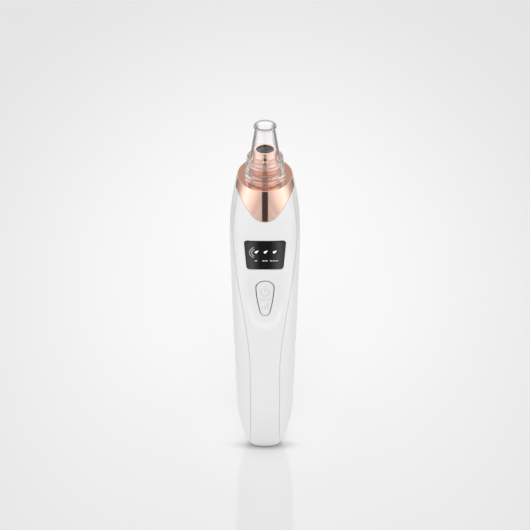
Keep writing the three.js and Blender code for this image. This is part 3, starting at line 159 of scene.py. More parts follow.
def lathe(profile: Sequence[Pair], steps: int) -> Solid:
    """Spins a closed profile about the vertical axis.

    Args:
        profile: Radius and height of each point, in order round the profile.
        steps: Faces round the axis.

    Returns:
        The closed solid.
    """
    bm = bmesh.new()
    verts = [bm.verts.new((radius, 0.0, height)) for radius, height in profile]
    edges = [bm.edges.new((a, b)) for a, b in zip(verts, verts[1:] + verts[:1])]
    bmesh.ops.spin(
        bm,
        geom=verts + edges,
        cent=(0.0, 0.0, 0.0),
        axis=(0.0, 0.0, 1.0),
        angle=2.0 * math.pi,
        steps=steps,
        use_merge=True,
    )
    bmesh.ops.remove_doubles(bm, verts=bm.verts, dist=MERGE)
    bmesh.ops.recalc_face_normals(bm, faces=bm.faces)
    return bm


def rounded(corners: Sequence[Triple], segments: int = 4) -> list[Pair]:
    """Rounds the corners of a closed profile.

    Args:
        corners: Radius, height and rounding of each corner.
        segments: Steps round each rounded corner.

    Returns:
        The profile's points.
    """
    points: list[Pair] = []
    for i, (x, z, radius) in enumerate(corners):
        here = Vector((x, z))
        if radius <= 0.0:
            points.append((x, z))
            continue
        before = (Vector(corners[i - 1][:2]) - here).normalized()
        after = (Vector(corners[(i + 1) % len(corners)][:2]) - here).normalized()
        for k in range(segments + 1):
            t = k / segments
            start = here + before * radius * (1.0 - t)
            end = here + after * radius * t
            points.append(tuple(start.lerp(end, t)))
    return points


def joined(parts: Sequence[Solid]) -> Solid:
    """Puts several meshes into one and frees them.

    Args:
        parts: Meshes to join.

    Returns:
        The mesh that holds them all.
    """
    whole = bmesh.new()
    for part in parts:
        mesh = bpy.data.meshes.new("part")
        part.to_mesh(mesh)
        part.free()
        whole.from_mesh(mesh)
        bpy.data.meshes.remove(mesh)
    return whole


def make_object(bm: Solid, name: str, *materials: Material) -> Object:
    """Turns a mesh into an object of the scene and frees it.

    Args:
        bm: The mesh.
        name: Name of the object and its mesh.
        materials: Its finishes.

    Returns:
        The object.
    """
    mesh = bpy.data.meshes.new(name)
    bm.to_mesh(mesh)
    bm.free()
    for material in materials:
        mesh.materials.append(material)
    obj = bpy.data.objects.new(name, mesh)
    bpy.context.scene.collection.objects.link(obj)
    return obj


def carve(target: Solid, cutter: Solid) -> Solid:
    """Takes one closed solid away from another and frees both.

    Args:
        target: Solid to cut.
        cutter: Solid that cuts.

    Returns:
        The cut solid.
    """
    objects = [make_object(target, "target"), make_object(cutter, "cutter")]
    modifier = objects[0].modifiers.new("carve", "BOOLEAN")
    modifier.operation = "DIFFERENCE"
    modifier.solver = "EXACT"
    modifier.object = objects[1]
    bpy.context.view_layer.update()
    shaped = objects[0].evaluated_get(bpy.context.evaluated_depsgraph_get())
    result = bmesh.new()
    result.from_mesh(shaped.to_mesh())
    shaped.to_mesh_clear()
    for obj in objects:
        mesh = obj.data
        bpy.data.objects.remove(obj)
        bpy.data.meshes.remove(mesh)
    bmesh.ops.remove_doubles(result, verts=result.verts, dist=MERGE)
    bmesh.ops.dissolve_degenerate(result, dist=MERGE / 2, edges=result.edges)
    return result


def finish_piece(
    bm: Solid,
    name: str,
    finish: "PlainFinish",
    body: Body,
    slot: Slot,
    replaces: Sequence[str] = (),
    crease: float = 32.0,
) -> Object:
    """Scales a mesh to metres, makes its object and ties it to the frame.

    Args:
        bm: Mesh in millimetres, freed here.
        name: Name of the piece.
        finish: Finish of the whole piece.
        body: CAD body that it rides on.
        slot: Record's slot of its finish; not used.
        replaces: CAD nodes that it stands for.
        crease: Edges sharper than this many degrees stay sharp.

    Returns:
        The finished object.
    """
    bmesh.ops.scale(bm, vec=(MM, MM, MM), verts=bm.verts)
    obj = make_object(bm, name, finish.material())
    mesh = obj.data
    mesh.polygons.foreach_set("use_smooth", [True] * len(mesh.polygons))
    mesh.set_sharp_from_angle(angle=math.radians(crease))
    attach(obj, body.value)
    if replaces:
        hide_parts(*replaces)
    LOG.info("%s: %d faces on %s", name, len(mesh.polygons), body.value)
    return obj


def feed(tree: Tree, value: Feed, socket: Socket) -> None:
    """Sets a socket to a number, or links an output to it.

    Args:
        tree: Node tree.
        value: The number or the output.
        socket: The socket.
    """
    if isinstance(value, float):
        socket.default_value = value
    else:
        tree.links.new(value, socket)


def calculate(tree: Tree, operation: str, first: Feed, second: Feed = 0.0) -> Socket:
    """Adds a sum of one or two values.

    Args:
        tree: Node tree.
        operation: Name of the operation.
        first: First value.
        second: Second value.

    Returns:
        The result.
    """
    node = tree.nodes.new("ShaderNodeMath")
    node.operation = operation
    feed(tree, first, node.inputs[0])
    feed(tree, second, node.inputs[1])
    return node.outputs["Value"]


def blend(tree: Tree, share: Socket, start: Feed, end: Feed) -> Socket:
    """Adds a blend of two numbers.

    Args:
        tree: Node tree.
        share: Share of the second.
        start: First number.
        end: Second number.

    Returns:
        The result.
    """
    node = tree.nodes.new("ShaderNodeMix")
    tree.links.new(share, node.inputs["Factor"])
    feed(tree, start, node.inputs["A"])
    feed(tree, end, node.inputs["B"])
    return node.outputs["Result"]


def bearing(tree: Tree, across: Feed, back: Feed) -> Socket:
    """Adds the bearing from the front, in degrees.

    Args:
        tree: Node tree.
        across: How far to the right.
        back: How far to the back.

    Returns:
        The bearing.
    """
    turn = calculate(tree, "ARCTAN2", across, calculate(tree, "MULTIPLY", back, -1.0))
    return calculate(tree, "MULTIPLY", turn, 180.0 / math.pi)


def set_ramp(ramp: Node, stops: Sequence[tuple[float, Colour]]) -> None:
    """Gives a colour ramp its stops.

    Args:
        ramp: The ramp's node.
        stops: Places from 0 to 1, in order, with their colours.
    """
    elements = ramp.color_ramp.elements
    while len(elements) < len(stops):
        elements.new(0.5)
    for element, (place, colour) in zip(elements, stops):
        element.position = place
        element.color = (*colour, 1.0)


def tone_ramp(tree: Tree, value: Socket, tones: Tones) -> Socket:
    """Adds a ramp of tones.

    Args:
        tree: Node tree.
        value: What the tones go by.
        tones: Values with their tones, in order.

    Returns:
        The tone.
    """
    low, high = tones[0][0], tones[-1][0]
    share = tree.nodes.new("ShaderNodeMapRange")
    share.inputs["From Min"].default_value = low
    share.inputs["From Max"].default_value = high
    ramp = tree.nodes.new("ShaderNodeValToRGB")
    set_ramp(ramp, [((place - low) / (high - low), (tone, tone, tone)) for place, tone in tones])
    tree.links.new(value, share.inputs["Value"])
    tree.links.new(share.outputs["Result"], ramp.inputs["Fac"])
    brightness = tree.nodes.new("ShaderNodeSeparateColor")
    tree.links.new(ramp.outputs["Color"], brightness.inputs["Color"])
    return brightness.outputs["Red"]


@dataclass(frozen=True)
class PlainFinish:
    """Finish whose colour and gloss are the same all over."""

    name: str
    colour: Colour
    roughness: float
    metallic: float = 0.0
    specular: float = 0.5
    glow: float = 0.0

    def material(self) -> Material:
        """Returns the material, made once.

        Returns:
            The material.
        """
        found = bpy.data.materials.get(self.name)
        if found:
            return found
        made = bpy.data.materials.new(self.name)
        made.use_nodes = True
        shader = made.node_tree.nodes["Principled BSDF"]
        shader.inputs["Base Color"].default_value = (*self.colour, 1.0)
        shader.inputs["Roughness"].default_value = self.roughness
        shader.inputs["Metallic"].default_value = self.metallic
        shader.inputs["Specular IOR Level"].default_value = self.specular
        if self.glow > 0.0:
            shader.inputs["Emission Color"].default_value = (*self.colour, 1.0)
            shader.inputs["Emission Strength"].default_value = self.glow
        self.dress(made.node_tree, shader)
        return made

    def dress(self, tree: Tree, shader: Node) -> None:
        """Leaves the plain shader as it is."""


@dataclass(frozen=True)
class GrainFinish(PlainFinish):
    """Finish with a fine grain in its surface, such as moulded plastic or foam."""

    grain_size: float = 0.4
    grain_depth: float = 0.05
    grain_detail: float = 3.0
    fleck: float = 0.0
    fleck_band: Pair = (0.35, 0.65)

    def dress(self, tree: Tree, shader: Node) -> None:
        """Adds the grain as a bump, and as a fleck of shade where the finish has one.

        Args:
            tree: Material's node tree.
            shader: Its shader.
        """
        place = tree.nodes.new("ShaderNodeTexCoord")
        noise = tree.nodes.new("ShaderNodeTexNoise")
        noise.inputs["Scale"].default_value = 1.0 / (self.grain_size * MM)
        noise.inputs["Detail"].default_value = self.grain_detail
        tree.links.new(place.outputs["Object"], noise.inputs["Vector"])
        bump = tree.nodes.new("ShaderNodeBump")
        bump.inputs["Strength"].default_value = self.grain_depth
        bump.inputs["Distance"].default_value = self.grain_size * MM
        tree.links.new(noise.outputs["Fac"], bump.inputs["Height"])
        tree.links.new(bump.outputs["Normal"], shader.inputs["Normal"])
        if self.fleck > 0.0:
            ramp = tree.nodes.new("ShaderNodeValToRGB")
            dark = tuple(channel * (1.0 - self.fleck) for channel in self.colour)
            set_ramp(ramp, list(zip(self.fleck_band, (dark, self.colour))))
            tree.links.new(noise.outputs["Fac"], ramp.inputs["Fac"])
            tree.links.new(ramp.outputs["Color"], shader.inputs["Base Color"])


@dataclass(frozen=True)
class ClearFinish(PlainFinish):
    """Clear moulded plastic that light passes through."""

    index: float = 1.49
    painted_edge_shade: Tones = ((0.37, 1.0), (0.54, 0.42), (1.0, 0.1))

    def dress(self, tree: Tree, shader: Node) -> None:
        """Lets light through the shader, with painted shade: the tint darkens where the wall is seen edge
        on, standing in for the dark edges of clear plastic.

        Args:
            tree: Material's node tree.
            shader: Its shader.
        """
        shader.inputs["Transmission Weight"].default_value = 1.0
        shader.inputs["IOR"].default_value = self.index
        # Painted shade: the tint darkens as the wall turns edge on.
        weight = tree.nodes.new("ShaderNodeLayerWeight")
        weight.inputs["Blend"].default_value = 0.5
        ramp = tree.nodes.new("ShaderNodeValToRGB")
        red, green, blue = self.colour
        set_ramp(ramp, [(place, (red * tone, green * tone, blue * tone)) for place, tone in self.painted_edge_shade])
        tree.links.new(weight.outputs["Facing"], ramp.inputs["Fac"])
        tree.links.new(ramp.outputs["Color"], shader.inputs["Base Color"])


WHITE_PLASTIC = GrainFinish(
    "white_moulded_plastic", (0.91, 0.91, 0.91), 0.34, specular=0.45, grain_size=0.5, grain_depth=0.02
)
BUTTON_PLASTIC = GrainFinish(
    "white_button_plastic", (0.89, 0.89, 0.89), 0.4, specular=0.4, grain_size=0.5, grain_depth=0.02
)
ROSE_PLATING = PlainFinish("rose_gold_plating", (0.86, 0.57, 0.47), 0.035, metallic=1.0)
NOZZLE_PLATING = PlainFinish("rose_gold_nozzle_plating", (0.86, 0.58, 0.49), 0.12, metallic=1.0)
CLEAR_PLASTIC = ClearFinish("clear_moulded_plastic", (1.0, 1.0, 1.0), 0.015, specular=0.4, index=1.4)
# Painted shade: grey tint for the mouth's rim, standing in for its darker look where the lip turns edge on.
CLEAR_RIM_PAINTED_SHADE = ClearFinish("clear_rim_painted_shade", (0.44, 0.44, 0.445), 0.015, specular=0.4, index=1.4)
WINDOW_GLOSS = PlainFinish("black_window_gloss", (0.008, 0.008, 0.009), 0.06, specular=0.5)
LAMP_WHITE = PlainFinish("indicator_white", (0.92, 0.92, 0.91), 0.35, glow=0.5)
PRINT_GREY = PlainFinish("window_print_grey", (0.72, 0.72, 0.72), 0.5)
MARK_GREY = PlainFinish("button_mark_grey", (0.75, 0.75, 0.76), 0.5)
# Painted shade: darker grey for the steep walls of the groove round the button, standing in for the shadow
# inside it.
PAINTED_GROOVE_SHADE = PlainFinish("painted_groove_shade", (0.45, 0.45, 0.455), 0.6)
SEAL_SILICONE = PlainFinish("blush_silicone", (0.72, 0.5, 0.43), 0.35)
SLOT_FINISHES: dict[Slot, PlainFinish] = {
    Slot.WHITE: WHITE_PLASTIC,
    Slot.ROSE_GOLD: ROSE_PLATING,
    Slot.CLEAR: CLEAR_PLASTIC,
    Slot.BLACK_GLOSS: WINDOW_GLOSS,
    Slot.LIGHT: PlainFinish("white_translucent_plastic", (0.85, 0.85, 0.84), 0.4),
    Slot.BLACK: GrainFinish("black_matt_plastic", (0.03, 0.03, 0.032), 0.55),
    Slot.RED: PlainFinish("red_wire_insulation", (0.5, 0.03, 0.025), 0.45),
    Slot.BOARD: GrainFinish("green_solder_mask", (0.03, 0.16, 0.07), 0.35, fleck=0.15, grain_size=1.2),
    Slot.FOAM: GrainFinish(
        "open_cell_foam", (0.2, 0.2, 0.2), 0.95, specular=0.2, grain_size=1.1, grain_depth=0.9, fleck=0.85
    ),
    Slot.RUBBER: GrainFinish("matt_rubber", (0.03, 0.03, 0.03), 0.75),
    Slot.SILICONE: PlainFinish("milky_silicone", (0.75, 0.76, 0.76), 0.4),
    Slot.STEEL: GrainFinish("plated_steel", (0.6, 0.61, 0.62), 0.28, metallic=1.0, grain_depth=0.03),
    Slot.BRASS: GrainFinish("brass_and_copper", (0.7, 0.5, 0.22), 0.3, metallic=1.0, grain_depth=0.03),
    Slot.MAGNET: GrainFinish("dark_ferrite", (0.12, 0.12, 0.125), 0.7, fleck=0.3),
    Slot.BATTERY: PlainFinish("blue_shrink_wrap", (0.05, 0.17, 0.45), 0.3),
}


@dataclass(frozen=True)
class Outline:
    """Closed outline on the front, made of arcs joined by straight or slightly bulging flanks.

    Each arc is its middle's x and z, its radius, and the turns in radians where it starts and ends.
    """

    arcs: tuple[tuple[float, float, float, float, float], ...]
    bulge: float = 0.0

    def point(self, share: float) -> Pair:
        """Finds the point a share of the way round, evenly spaced.

        Args:
            share: From 0 to 1.

        Returns:
            Its x and z.
        """
        runs: list[tuple[float, Path]] = []
        for i, (x, z, radius, start, end) in enumerate(self.arcs):
            runs.append((abs(end - start) * radius, self.arc(x, z, radius, start, end)))
            other = self.arcs[(i + 1) % len(self.arcs)]
            here = self.arc(x, z, radius, start, end)(1.0)
            there = self.arc(*other)(0.0)
            runs.append((math.dist(here, there), self.flank(here, there, self.bulge)))
        left = (share % 1.0) * sum(length for length, _ in runs)
        for length, run in runs:
            if left <= length and length > 0.0:
                return run(left / length)
            left -= length
        return runs[0][1](0.0)

    @staticmethod
    def arc(x: float, z: float, radius: float, start: float, end: float) -> Path:
        """Returns the path along one arc."""
        return lambda t: (
            x + radius * math.cos(mix(start, end, t)),
            z + radius * math.sin(mix(start, end, t)),
        )

    @staticmethod
    def flank(here: Pair, there: Pair, bulge: float = 0.0) -> Path:
        """Makes the path along one flank.

        Args:
            here: Its start.
            there: Its end.
            bulge: How far its middle stands out to the right of the way.

        Returns:
            The path.
        """
        length = max(math.dist(here, there), MERGE)
        out_x = (there[1] - here[1]) / length * bulge
        out_z = (here[0] - there[0]) / length * bulge

        def path(t: float) -> Pair:
            """Returns the point a share of the way along."""
            swell = 4.0 * t * (1.0 - t)
            return mix(here[0], there[0], t) + out_x * swell, mix(here[1], there[1], t) + out_z * swell

        return path

    def middle(self) -> Pair:
        """Returns the mean of the arcs' middles."""
        count = len(self.arcs)
        return sum(arc[0] for arc in self.arcs) / count, sum(arc[1] for arc in self.arcs) / count

    def plate(self, surface: Surface, back: Surface, rim: float, columns: int, rows: int) -> Solid:
        """Makes a closed plate of this outline with a rounded front rim.

        Args:
            surface: Gives y of the front face from x and z.
            back: Gives y of the back face from x and z.
            rim: Radius of the front rim.
            columns: Faces round the outline.
            rows: Faces from the middle of the front to its rim.

        Returns:
            The plate.
        """
        rim_steps = 4
        total = rows + rim_steps + 3
        centre = self.middle()
        reach = min(math.dist(centre, self.point(k / columns)) for k in range(columns))

        def place(u: float, v: float) -> Vector:
            """Walks out over the face, round the rim, down the wall and in over the back.

            Args:
                u: Share along the grid's columns.
                v: Share along its rows.

            Returns:
                The point.
            """
            step = round(v * total)
            edge = self.point(u)
            share, sink = 1.0, 0.0
            if step < rows:
                share = (1.0 - rim / reach) * step / rows
            elif step <= rows + rim_steps:
                turn = (step - rows) / rim_steps * QUARTER
                share = 1.0 - rim / reach * (1.0 - math.sin(turn))
                sink = rim * (1.0 - math.cos(turn))
            elif step == total:
                share = 0.0
            x = mix(centre[0], edge[0], share)
            z = mix(centre[1], edge[1], share)
            y = surface(x, z) + sink if step <= rows + rim_steps else back(x, z)
            return Vector((x, y, z))

        return warped_grid(columns, total, place)

    def prism(self, front: float, back: float, columns: int) -> Solid:
        """Makes a straight prism of this outline, for cutting a hole.

        Args:
            front: y of its front end.
            back: y of its back end.
            columns: Faces round the outline.

        Returns:
            The prism.
        """
        centre = self.middle()
        ends = ((0.0, front), (1.0, front), (1.0, back), (0.0, back))

        def place(u: float, v: float) -> Vector:
            """Walks out over one end, along the wall and in over the other.

            Args:
                u: Share along the grid's columns.
                v: Share along its rows.

            Returns:
                The point.
            """
            share, y = ends[round(v * 3)]
            edge = self.point(u)
            return Vector((mix(centre[0], edge[0], share), y, mix(centre[1], edge[1], share)))

        return warped_grid(columns, 3, place)


def teardrop(
    x: float, low: float, length: float, big: float, small: float, turn: float = 0.0, bulge: float = 0.0
) -> Outline:
    """Makes a teardrop outline: a large arc, a small arc and the flanks that touch both.

    Args:
        x: Middle of the large arc.
        low: Lowest height before turning.
        length: From end to end.
        big: Radius of the upper arc.
        small: Radius of the lower arc.
        turn: Radians that the drop is turned about the middle of its upper arc.
        bulge: How far the flanks' middles stand out.

    Returns:
        The outline.
    """
    high_middle = low + length - big
    apart = high_middle - low - small
    tilt = math.asin((big - small) / apart)
    foot_x = x + apart * math.sin(turn)
    foot_z = high_middle - apart * math.cos(turn)
    return Outline(
        (
            (x, high_middle, big, -tilt + turn, math.pi + tilt + turn),
            (foot_x, foot_z, small, math.pi + tilt + turn, 2.0 * math.pi - tilt + turn),
        ),
        bulge,
    )


def ribbon(path: Path, width: float, surface: Surface, lift: float, columns: int) -> Solid:
    """Makes a thin raised line on the front, closed at both ends.

    Args:
        path: Gives x and z along the line's middle.
        width: Width of the line.
        surface: Gives y of the face under it.
        lift: How far it stands proud.
        columns: Faces along the line.

    Returns:
        The line as a closed solid.
    """
    corners = ((-0.5, -lift), (0.5, -lift), (0.5, lift), (-0.5, lift), (-0.5, -lift))
    total = columns + 2

    def place(u: float, v: float) -> Vector:
        """Walks along the line and round its section.

        Args:
            u: Share along the grid's columns.
            v: Share along its rows.

        Returns:
            The point.
        """
        step = round(u * total)
        t = min(max((step - 1) / columns, 0.0), 1.0)
        here = Vector(path(t))
        ahead = Vector(path(min(t + NUDGE, 1.0))) - Vector(path(max(t - NUDGE, 0.0)))
        across = Vector((-ahead.y, ahead.x)).normalized() * width
        side, rise = corners[round(v * 4)]
        if step in (0, total):
            side, rise = 0.0, 0.0
        spot = here + across * side
        return Vector((spot.x, surface(spot.x, spot.y) + rise, spot.y))

    return warped_grid(total, 4, place)


@dataclass(frozen=True)
class BodySkin:
    """Outer form of the body, shared by the shells, the collar, the window and the button. Millimetres."""

    foot_width: float = 7.6
    foot_depth: float = 4.7
    heel: float = 33.0
    heel_round_width: float = 1.5
    heel_round_depth: float = 1.8
    grip_width: float = 15.35
    grip_depth: float = 14.0
    shoulder: float = 131.0
    shoulder_width: float = 17.95
    shoulder_depth: float = 18.85
    crown: float = 167.2
    crown_width: float = 13.95
    crown_depth: float = 17.2
    crown_round: float = 0.12
    foot_square: float = 2.3
    front_square: float = 3.8
    crown_square: float = 2.0
    window_low: float = 121.7
    window_high: float = 139.0
    scallop_low: float = 28.5
    scallop_pitch: float = 14.0
    scallop_count: int = 3
    scallop_depth: float = 0.45
    scallop_power: int = 4
    scoop_middle: float = 106.8
    scoop_outer: Pair = (9.4, 24.0)
    scoop_inner: Pair = (7.6, 19.4)
    scoop_fade: Pair = (98.0, 119.0)
    scoop_depth: float = 1.8
    scoop_square: float = 2.6
    edge_low: float = 149.8
    edge_rise: float = 12.2
    edge_half: float = 15.0
    edge_curve: float = 1.25
    edge_tries: int = 12
    edge_step: float = 0.7
    seam_narrow: float = 7.7
    seam_wide: float = 16.3
    seam_low: float = 54.0
    seam_high: float = 144.0
    seam_edge: float = 1.3
    seam_gap: float = 0.1
    split_depth: float = 6.5
    split_tries: int = 30
    side_most: float = 0.999
    wall: float = 2.2

    def half_size(self, z: float, sizes: tuple[float, float, float, float], bend: float) -> float:
        """Finds a half size at a height: rounded heel, straight taper, then a curve in to the crown.

        Args:
            z: Height.
            sizes: Half sizes at the foot, grip, shoulder and crown.
            bend: How round the heel is.

        Returns:
            The half size.
        """
        foot, grip, shoulder, crown = sizes
        if z < self.heel:
            rest = 1.0 - max(z, 0.0) / self.heel
            return mix(foot, grip, (1.0 - rest**bend) ** (1.0 / bend))
        if z < self.shoulder:
            return mix(grip, shoulder, (z - self.heel) / (self.shoulder - self.heel))
        return mix(shoulder, crown, ((z - self.shoulder) / (self.crown - self.shoulder)) ** 2)

    def half_width(self, z: float) -> float:
        """Returns half the body's width at a height."""
        sizes = (self.foot_width, self.grip_width, self.shoulder_width, self.crown_width)
        return self.half_size(z, sizes, self.heel_round_width)

    def half_depth(self, z: float) -> float:
        """Returns half the body's depth at a height."""
        sizes = (self.foot_depth, self.grip_depth, self.shoulder_depth, self.crown_depth)
        return self.half_size(z, sizes, self.heel_round_depth)

    def squareness(self, z: float) -> float:
        """Returns how square the section is: oval at the ends, flatter-faced at the window.

        Args:
            z: Height.

        Returns:
            The power of the section's curve.
        """
        if z < self.window_low:
            return mix(self.foot_square, self.front_square, ease(z / self.window_low))
        share = (z - self.window_high) / (self.crown - self.window_high)
        return mix(self.front_square, self.crown_square, ease(share))

    def scallop(self, z: float) -> float:
        """Returns the depth of the finger scallops at a height.

        Args:
            z: Height.

        Returns:
            The depth.
        """
        turn = (z - self.scallop_low) / self.scallop_pitch
        if turn < 0.0 or turn > self.scallop_count:
            return 0.0
        return self.scallop_depth * (1.0 - math.cos(2.0 * math.pi * turn)) / 2.0

    def scoop(self, x: float, z: float) -> float:
        """Returns the depth of the thumb scoop at a place on the front.

        Args:
            x: Place across.
            z: Height.

        Returns:
            The depth.
        """
        below = max(self.scoop_middle - z, 0.0)
        power = self.scoop_square
        outer, inner = (
            ((abs(x) / wide) ** power + (below / tall) ** power) ** (1.0 / power)
            for wide, tall in (self.scoop_outer, self.scoop_inner)
        )
        if outer >= 1.0:
            return 0.0
        wall = 1.0 if inner <= 1.0 else (1.0 - outer) / (inner - outer)
        low, high = self.scoop_fade
        return self.scoop_depth * wall * ease((high - z) / (high - low))

    def point(self, turn: float, z: float, inset: float) -> Vector:
        """Finds a point of the skin.

        Args:
            turn: Angle about the body's axis in radians, from +X.
            z: Height.
            inset: How far the skin is drawn in.

        Returns:
            The point.
        """
        c, s = math.cos(turn), math.sin(turn)
        power = self.squareness(z)
        reach = (abs(c) ** power + abs(s) ** power) ** (-1.0 / power)
        x = (self.half_width(z) - inset) * reach * c
        y = (self.half_depth(z) - inset) * reach * s
        x -= math.copysign(self.scallop(z) * abs(c) ** self.scallop_power, x)
        return Vector((x, y, z))

    def front(self, x: float, z: float) -> float:
        """Returns y of the plain front, without the scoop.

        Args:
            x: Place across.
            z: Height.

        Returns:
            The front's y.
        """
        power = self.squareness(z)
        share = min(abs(x) / self.half_width(z), self.side_most)
        return -self.half_depth(z) * (1.0 - share**power) ** (1.0 / power)

    def scooped_front(self, x: float, z: float) -> float:
        """Returns y of the front with the thumb scoop."""
        return self.front(x, z) + self.scoop(x, z)

    def edge(self, x: float) -> float:
        """Returns the height of the edge between body and collar."""
        climb = ease((abs(x) / self.edge_half) ** self.edge_curve)
        return self.edge_low + self.edge_rise * climb

    def edge_at(self, turn: float, lift: float) -> float:
        """Finds the height where the body's edge crosses an angle.

        Args:
            turn: Angle about the body's axis in radians.
            lift: How far above the edge.

        Returns:
            The height.
        """
        z = self.edge_low
        for _ in range(self.edge_tries):
            z = mix(z, self.edge(self.point(turn, z, 0.0).x) + lift, self.edge_step)
        return z

    def seam_half(self, z: float) -> float:
        """Returns half the width of the front panel at a height.

        Args:
            z: Height.

        Returns:
            Half the width.
        """
        share = (z - self.seam_low) / (self.seam_high - self.seam_low)
        swept = mix(self.seam_narrow, self.seam_wide, ease(share))
        return min(swept, self.half_width(min(z, self.crown)) - self.seam_edge)

    def panel_low(self, x: float) -> float:
        """Returns the lowest height of the front panel, where the front reaches the split.

        Args:
            x: Place across.

        Returns:
            The height.
        """
        low, high = 0.0, self.heel
        for _ in range(self.split_tries):
            middle = (low + high) / 2.0
            if -self.front(x, middle) > self.split_depth + self.seam_gap / 2.0:
                high = middle
            else:
                low = middle
        return high


@dataclass(frozen=True)
class DisplayWindow:
    """Black gloss window with three drop-shaped lights and its printed marks. Millimetres."""

    skin: BodySkin
    half_low: float = 9.15
    half_high: float = 10.6
    corner: float = 1.6
    sunk: float = 0.15
    thick: float = 1.5
    gap: float = 0.2
    drop_height: float = 132.2
    drop_spacing: float = 4.6
    drop_radius: float = 0.6
    drop_tip: float = 0.1
    drop_length: float = 2.3
    drop_turn: float = math.pi - 0.9
    level_height: float = 127.0
    level_length: float = 1.15
    level_gap: float = 0.3
    level_line: float = 0.54
    line: float = 0.3
    lift: float = 0.03
    rim: float = 0.12
    columns: int = 192
    rows: int = 22
    lens_proud: float = 0.06
    lens_thick: float = 0.4
    lens_rim: float = 0.05
    arc_radii: Pair = (2.15, 3.2)
    arc_turns: Pair = (math.radians(108), math.radians(250))
    arc_drop: float = 0.2

    def outline(self, grow: float) -> Outline:
        """Returns the window's outline, grown by a margin.

        Args:
            grow: The margin.

        Returns:
            The outline.
        """
        low, high = self.skin.window_low - grow, self.skin.window_high + grow
        wide, narrow = self.half_high + grow, self.half_low + grow
        lean = math.atan2(wide - narrow, high - low)
        radius = self.corner + grow
        top_x = wide - radius * (1.0 + math.tan(lean))
        low_x = narrow - radius * (1.0 - math.tan(lean))
        return Outline(
            (
                (top_x, high - radius, radius, -lean, QUARTER),
                (-top_x, high - radius, radius, QUARTER, math.pi + lean),
                (-low_x, low + radius, radius, math.pi + lean, 3.0 * QUARTER),
                (low_x, low + radius, radius, 3.0 * QUARTER, 2.0 * math.pi - lean),
            )
        )

    def face(self, x: float, z: float) -> float:
        """Returns y of the window's face."""
        return self.skin.front(x, z) + self.sunk

    def drop(self, x: float) -> Outline:
        """Returns the outline of the light at a place across the window."""
        low = self.drop_height + self.drop_radius - self.drop_length
        return teardrop(x, low, self.drop_length, self.drop_radius, self.drop_tip, self.drop_turn)

    def build(self) -> None:
        """Makes the window, its lights and its marks."""
        plate = self.outline(0.0).plate(
            self.face, lambda x, z: self.face(x, z) + self.thick, self.rim, self.columns, self.rows
        )
        finish_piece(plate, "window_plate", WINDOW_GLOSS, Body.HANDLE, Slot.BLACK_GLOSS, ["display_window"])
        for i, node in enumerate(("indicator_left", "indicator_middle", "indicator_right")):
            lens = self.drop((i - 1) * self.drop_spacing).plate(
                lambda x, z: self.face(x, z) - self.lens_proud,
                lambda x, z: self.face(x, z) + self.lens_thick,
                self.lens_rim,
                columns=40,
                rows=6,
            )
            finish_piece(lens, f"{node}_lens", LAMP_WHITE, Body.HANDLE, Slot.LIGHT, [node])
        self.build_marks()

    def build_marks(self) -> None:
        """Makes the level bars under the lights and the two arcs beside the first one."""
        lines = []
        for i in range(3):
            for k in range(i + 1):
                x = (i - 1) * self.drop_spacing + (k - i / 2.0) * (self.level_length + self.level_gap)
                start, end = x - self.level_length / 2.0, x + self.level_length / 2.0
                bar = Outline.flank((start, self.level_height), (end, self.level_height))
                lines.append(ribbon(bar, self.level_line, self.face, self.lift, columns=4))
        for radius in self.arc_radii:
            arc = Outline.arc(-self.drop_spacing, self.drop_height - self.arc_drop, radius, *self.arc_turns)
            lines.append(ribbon(arc, self.line, self.face, self.lift, columns=24))
        finish_piece(joined(lines), "window_marks", PRINT_GREY, Body.HANDLE, Slot.LIGHT)


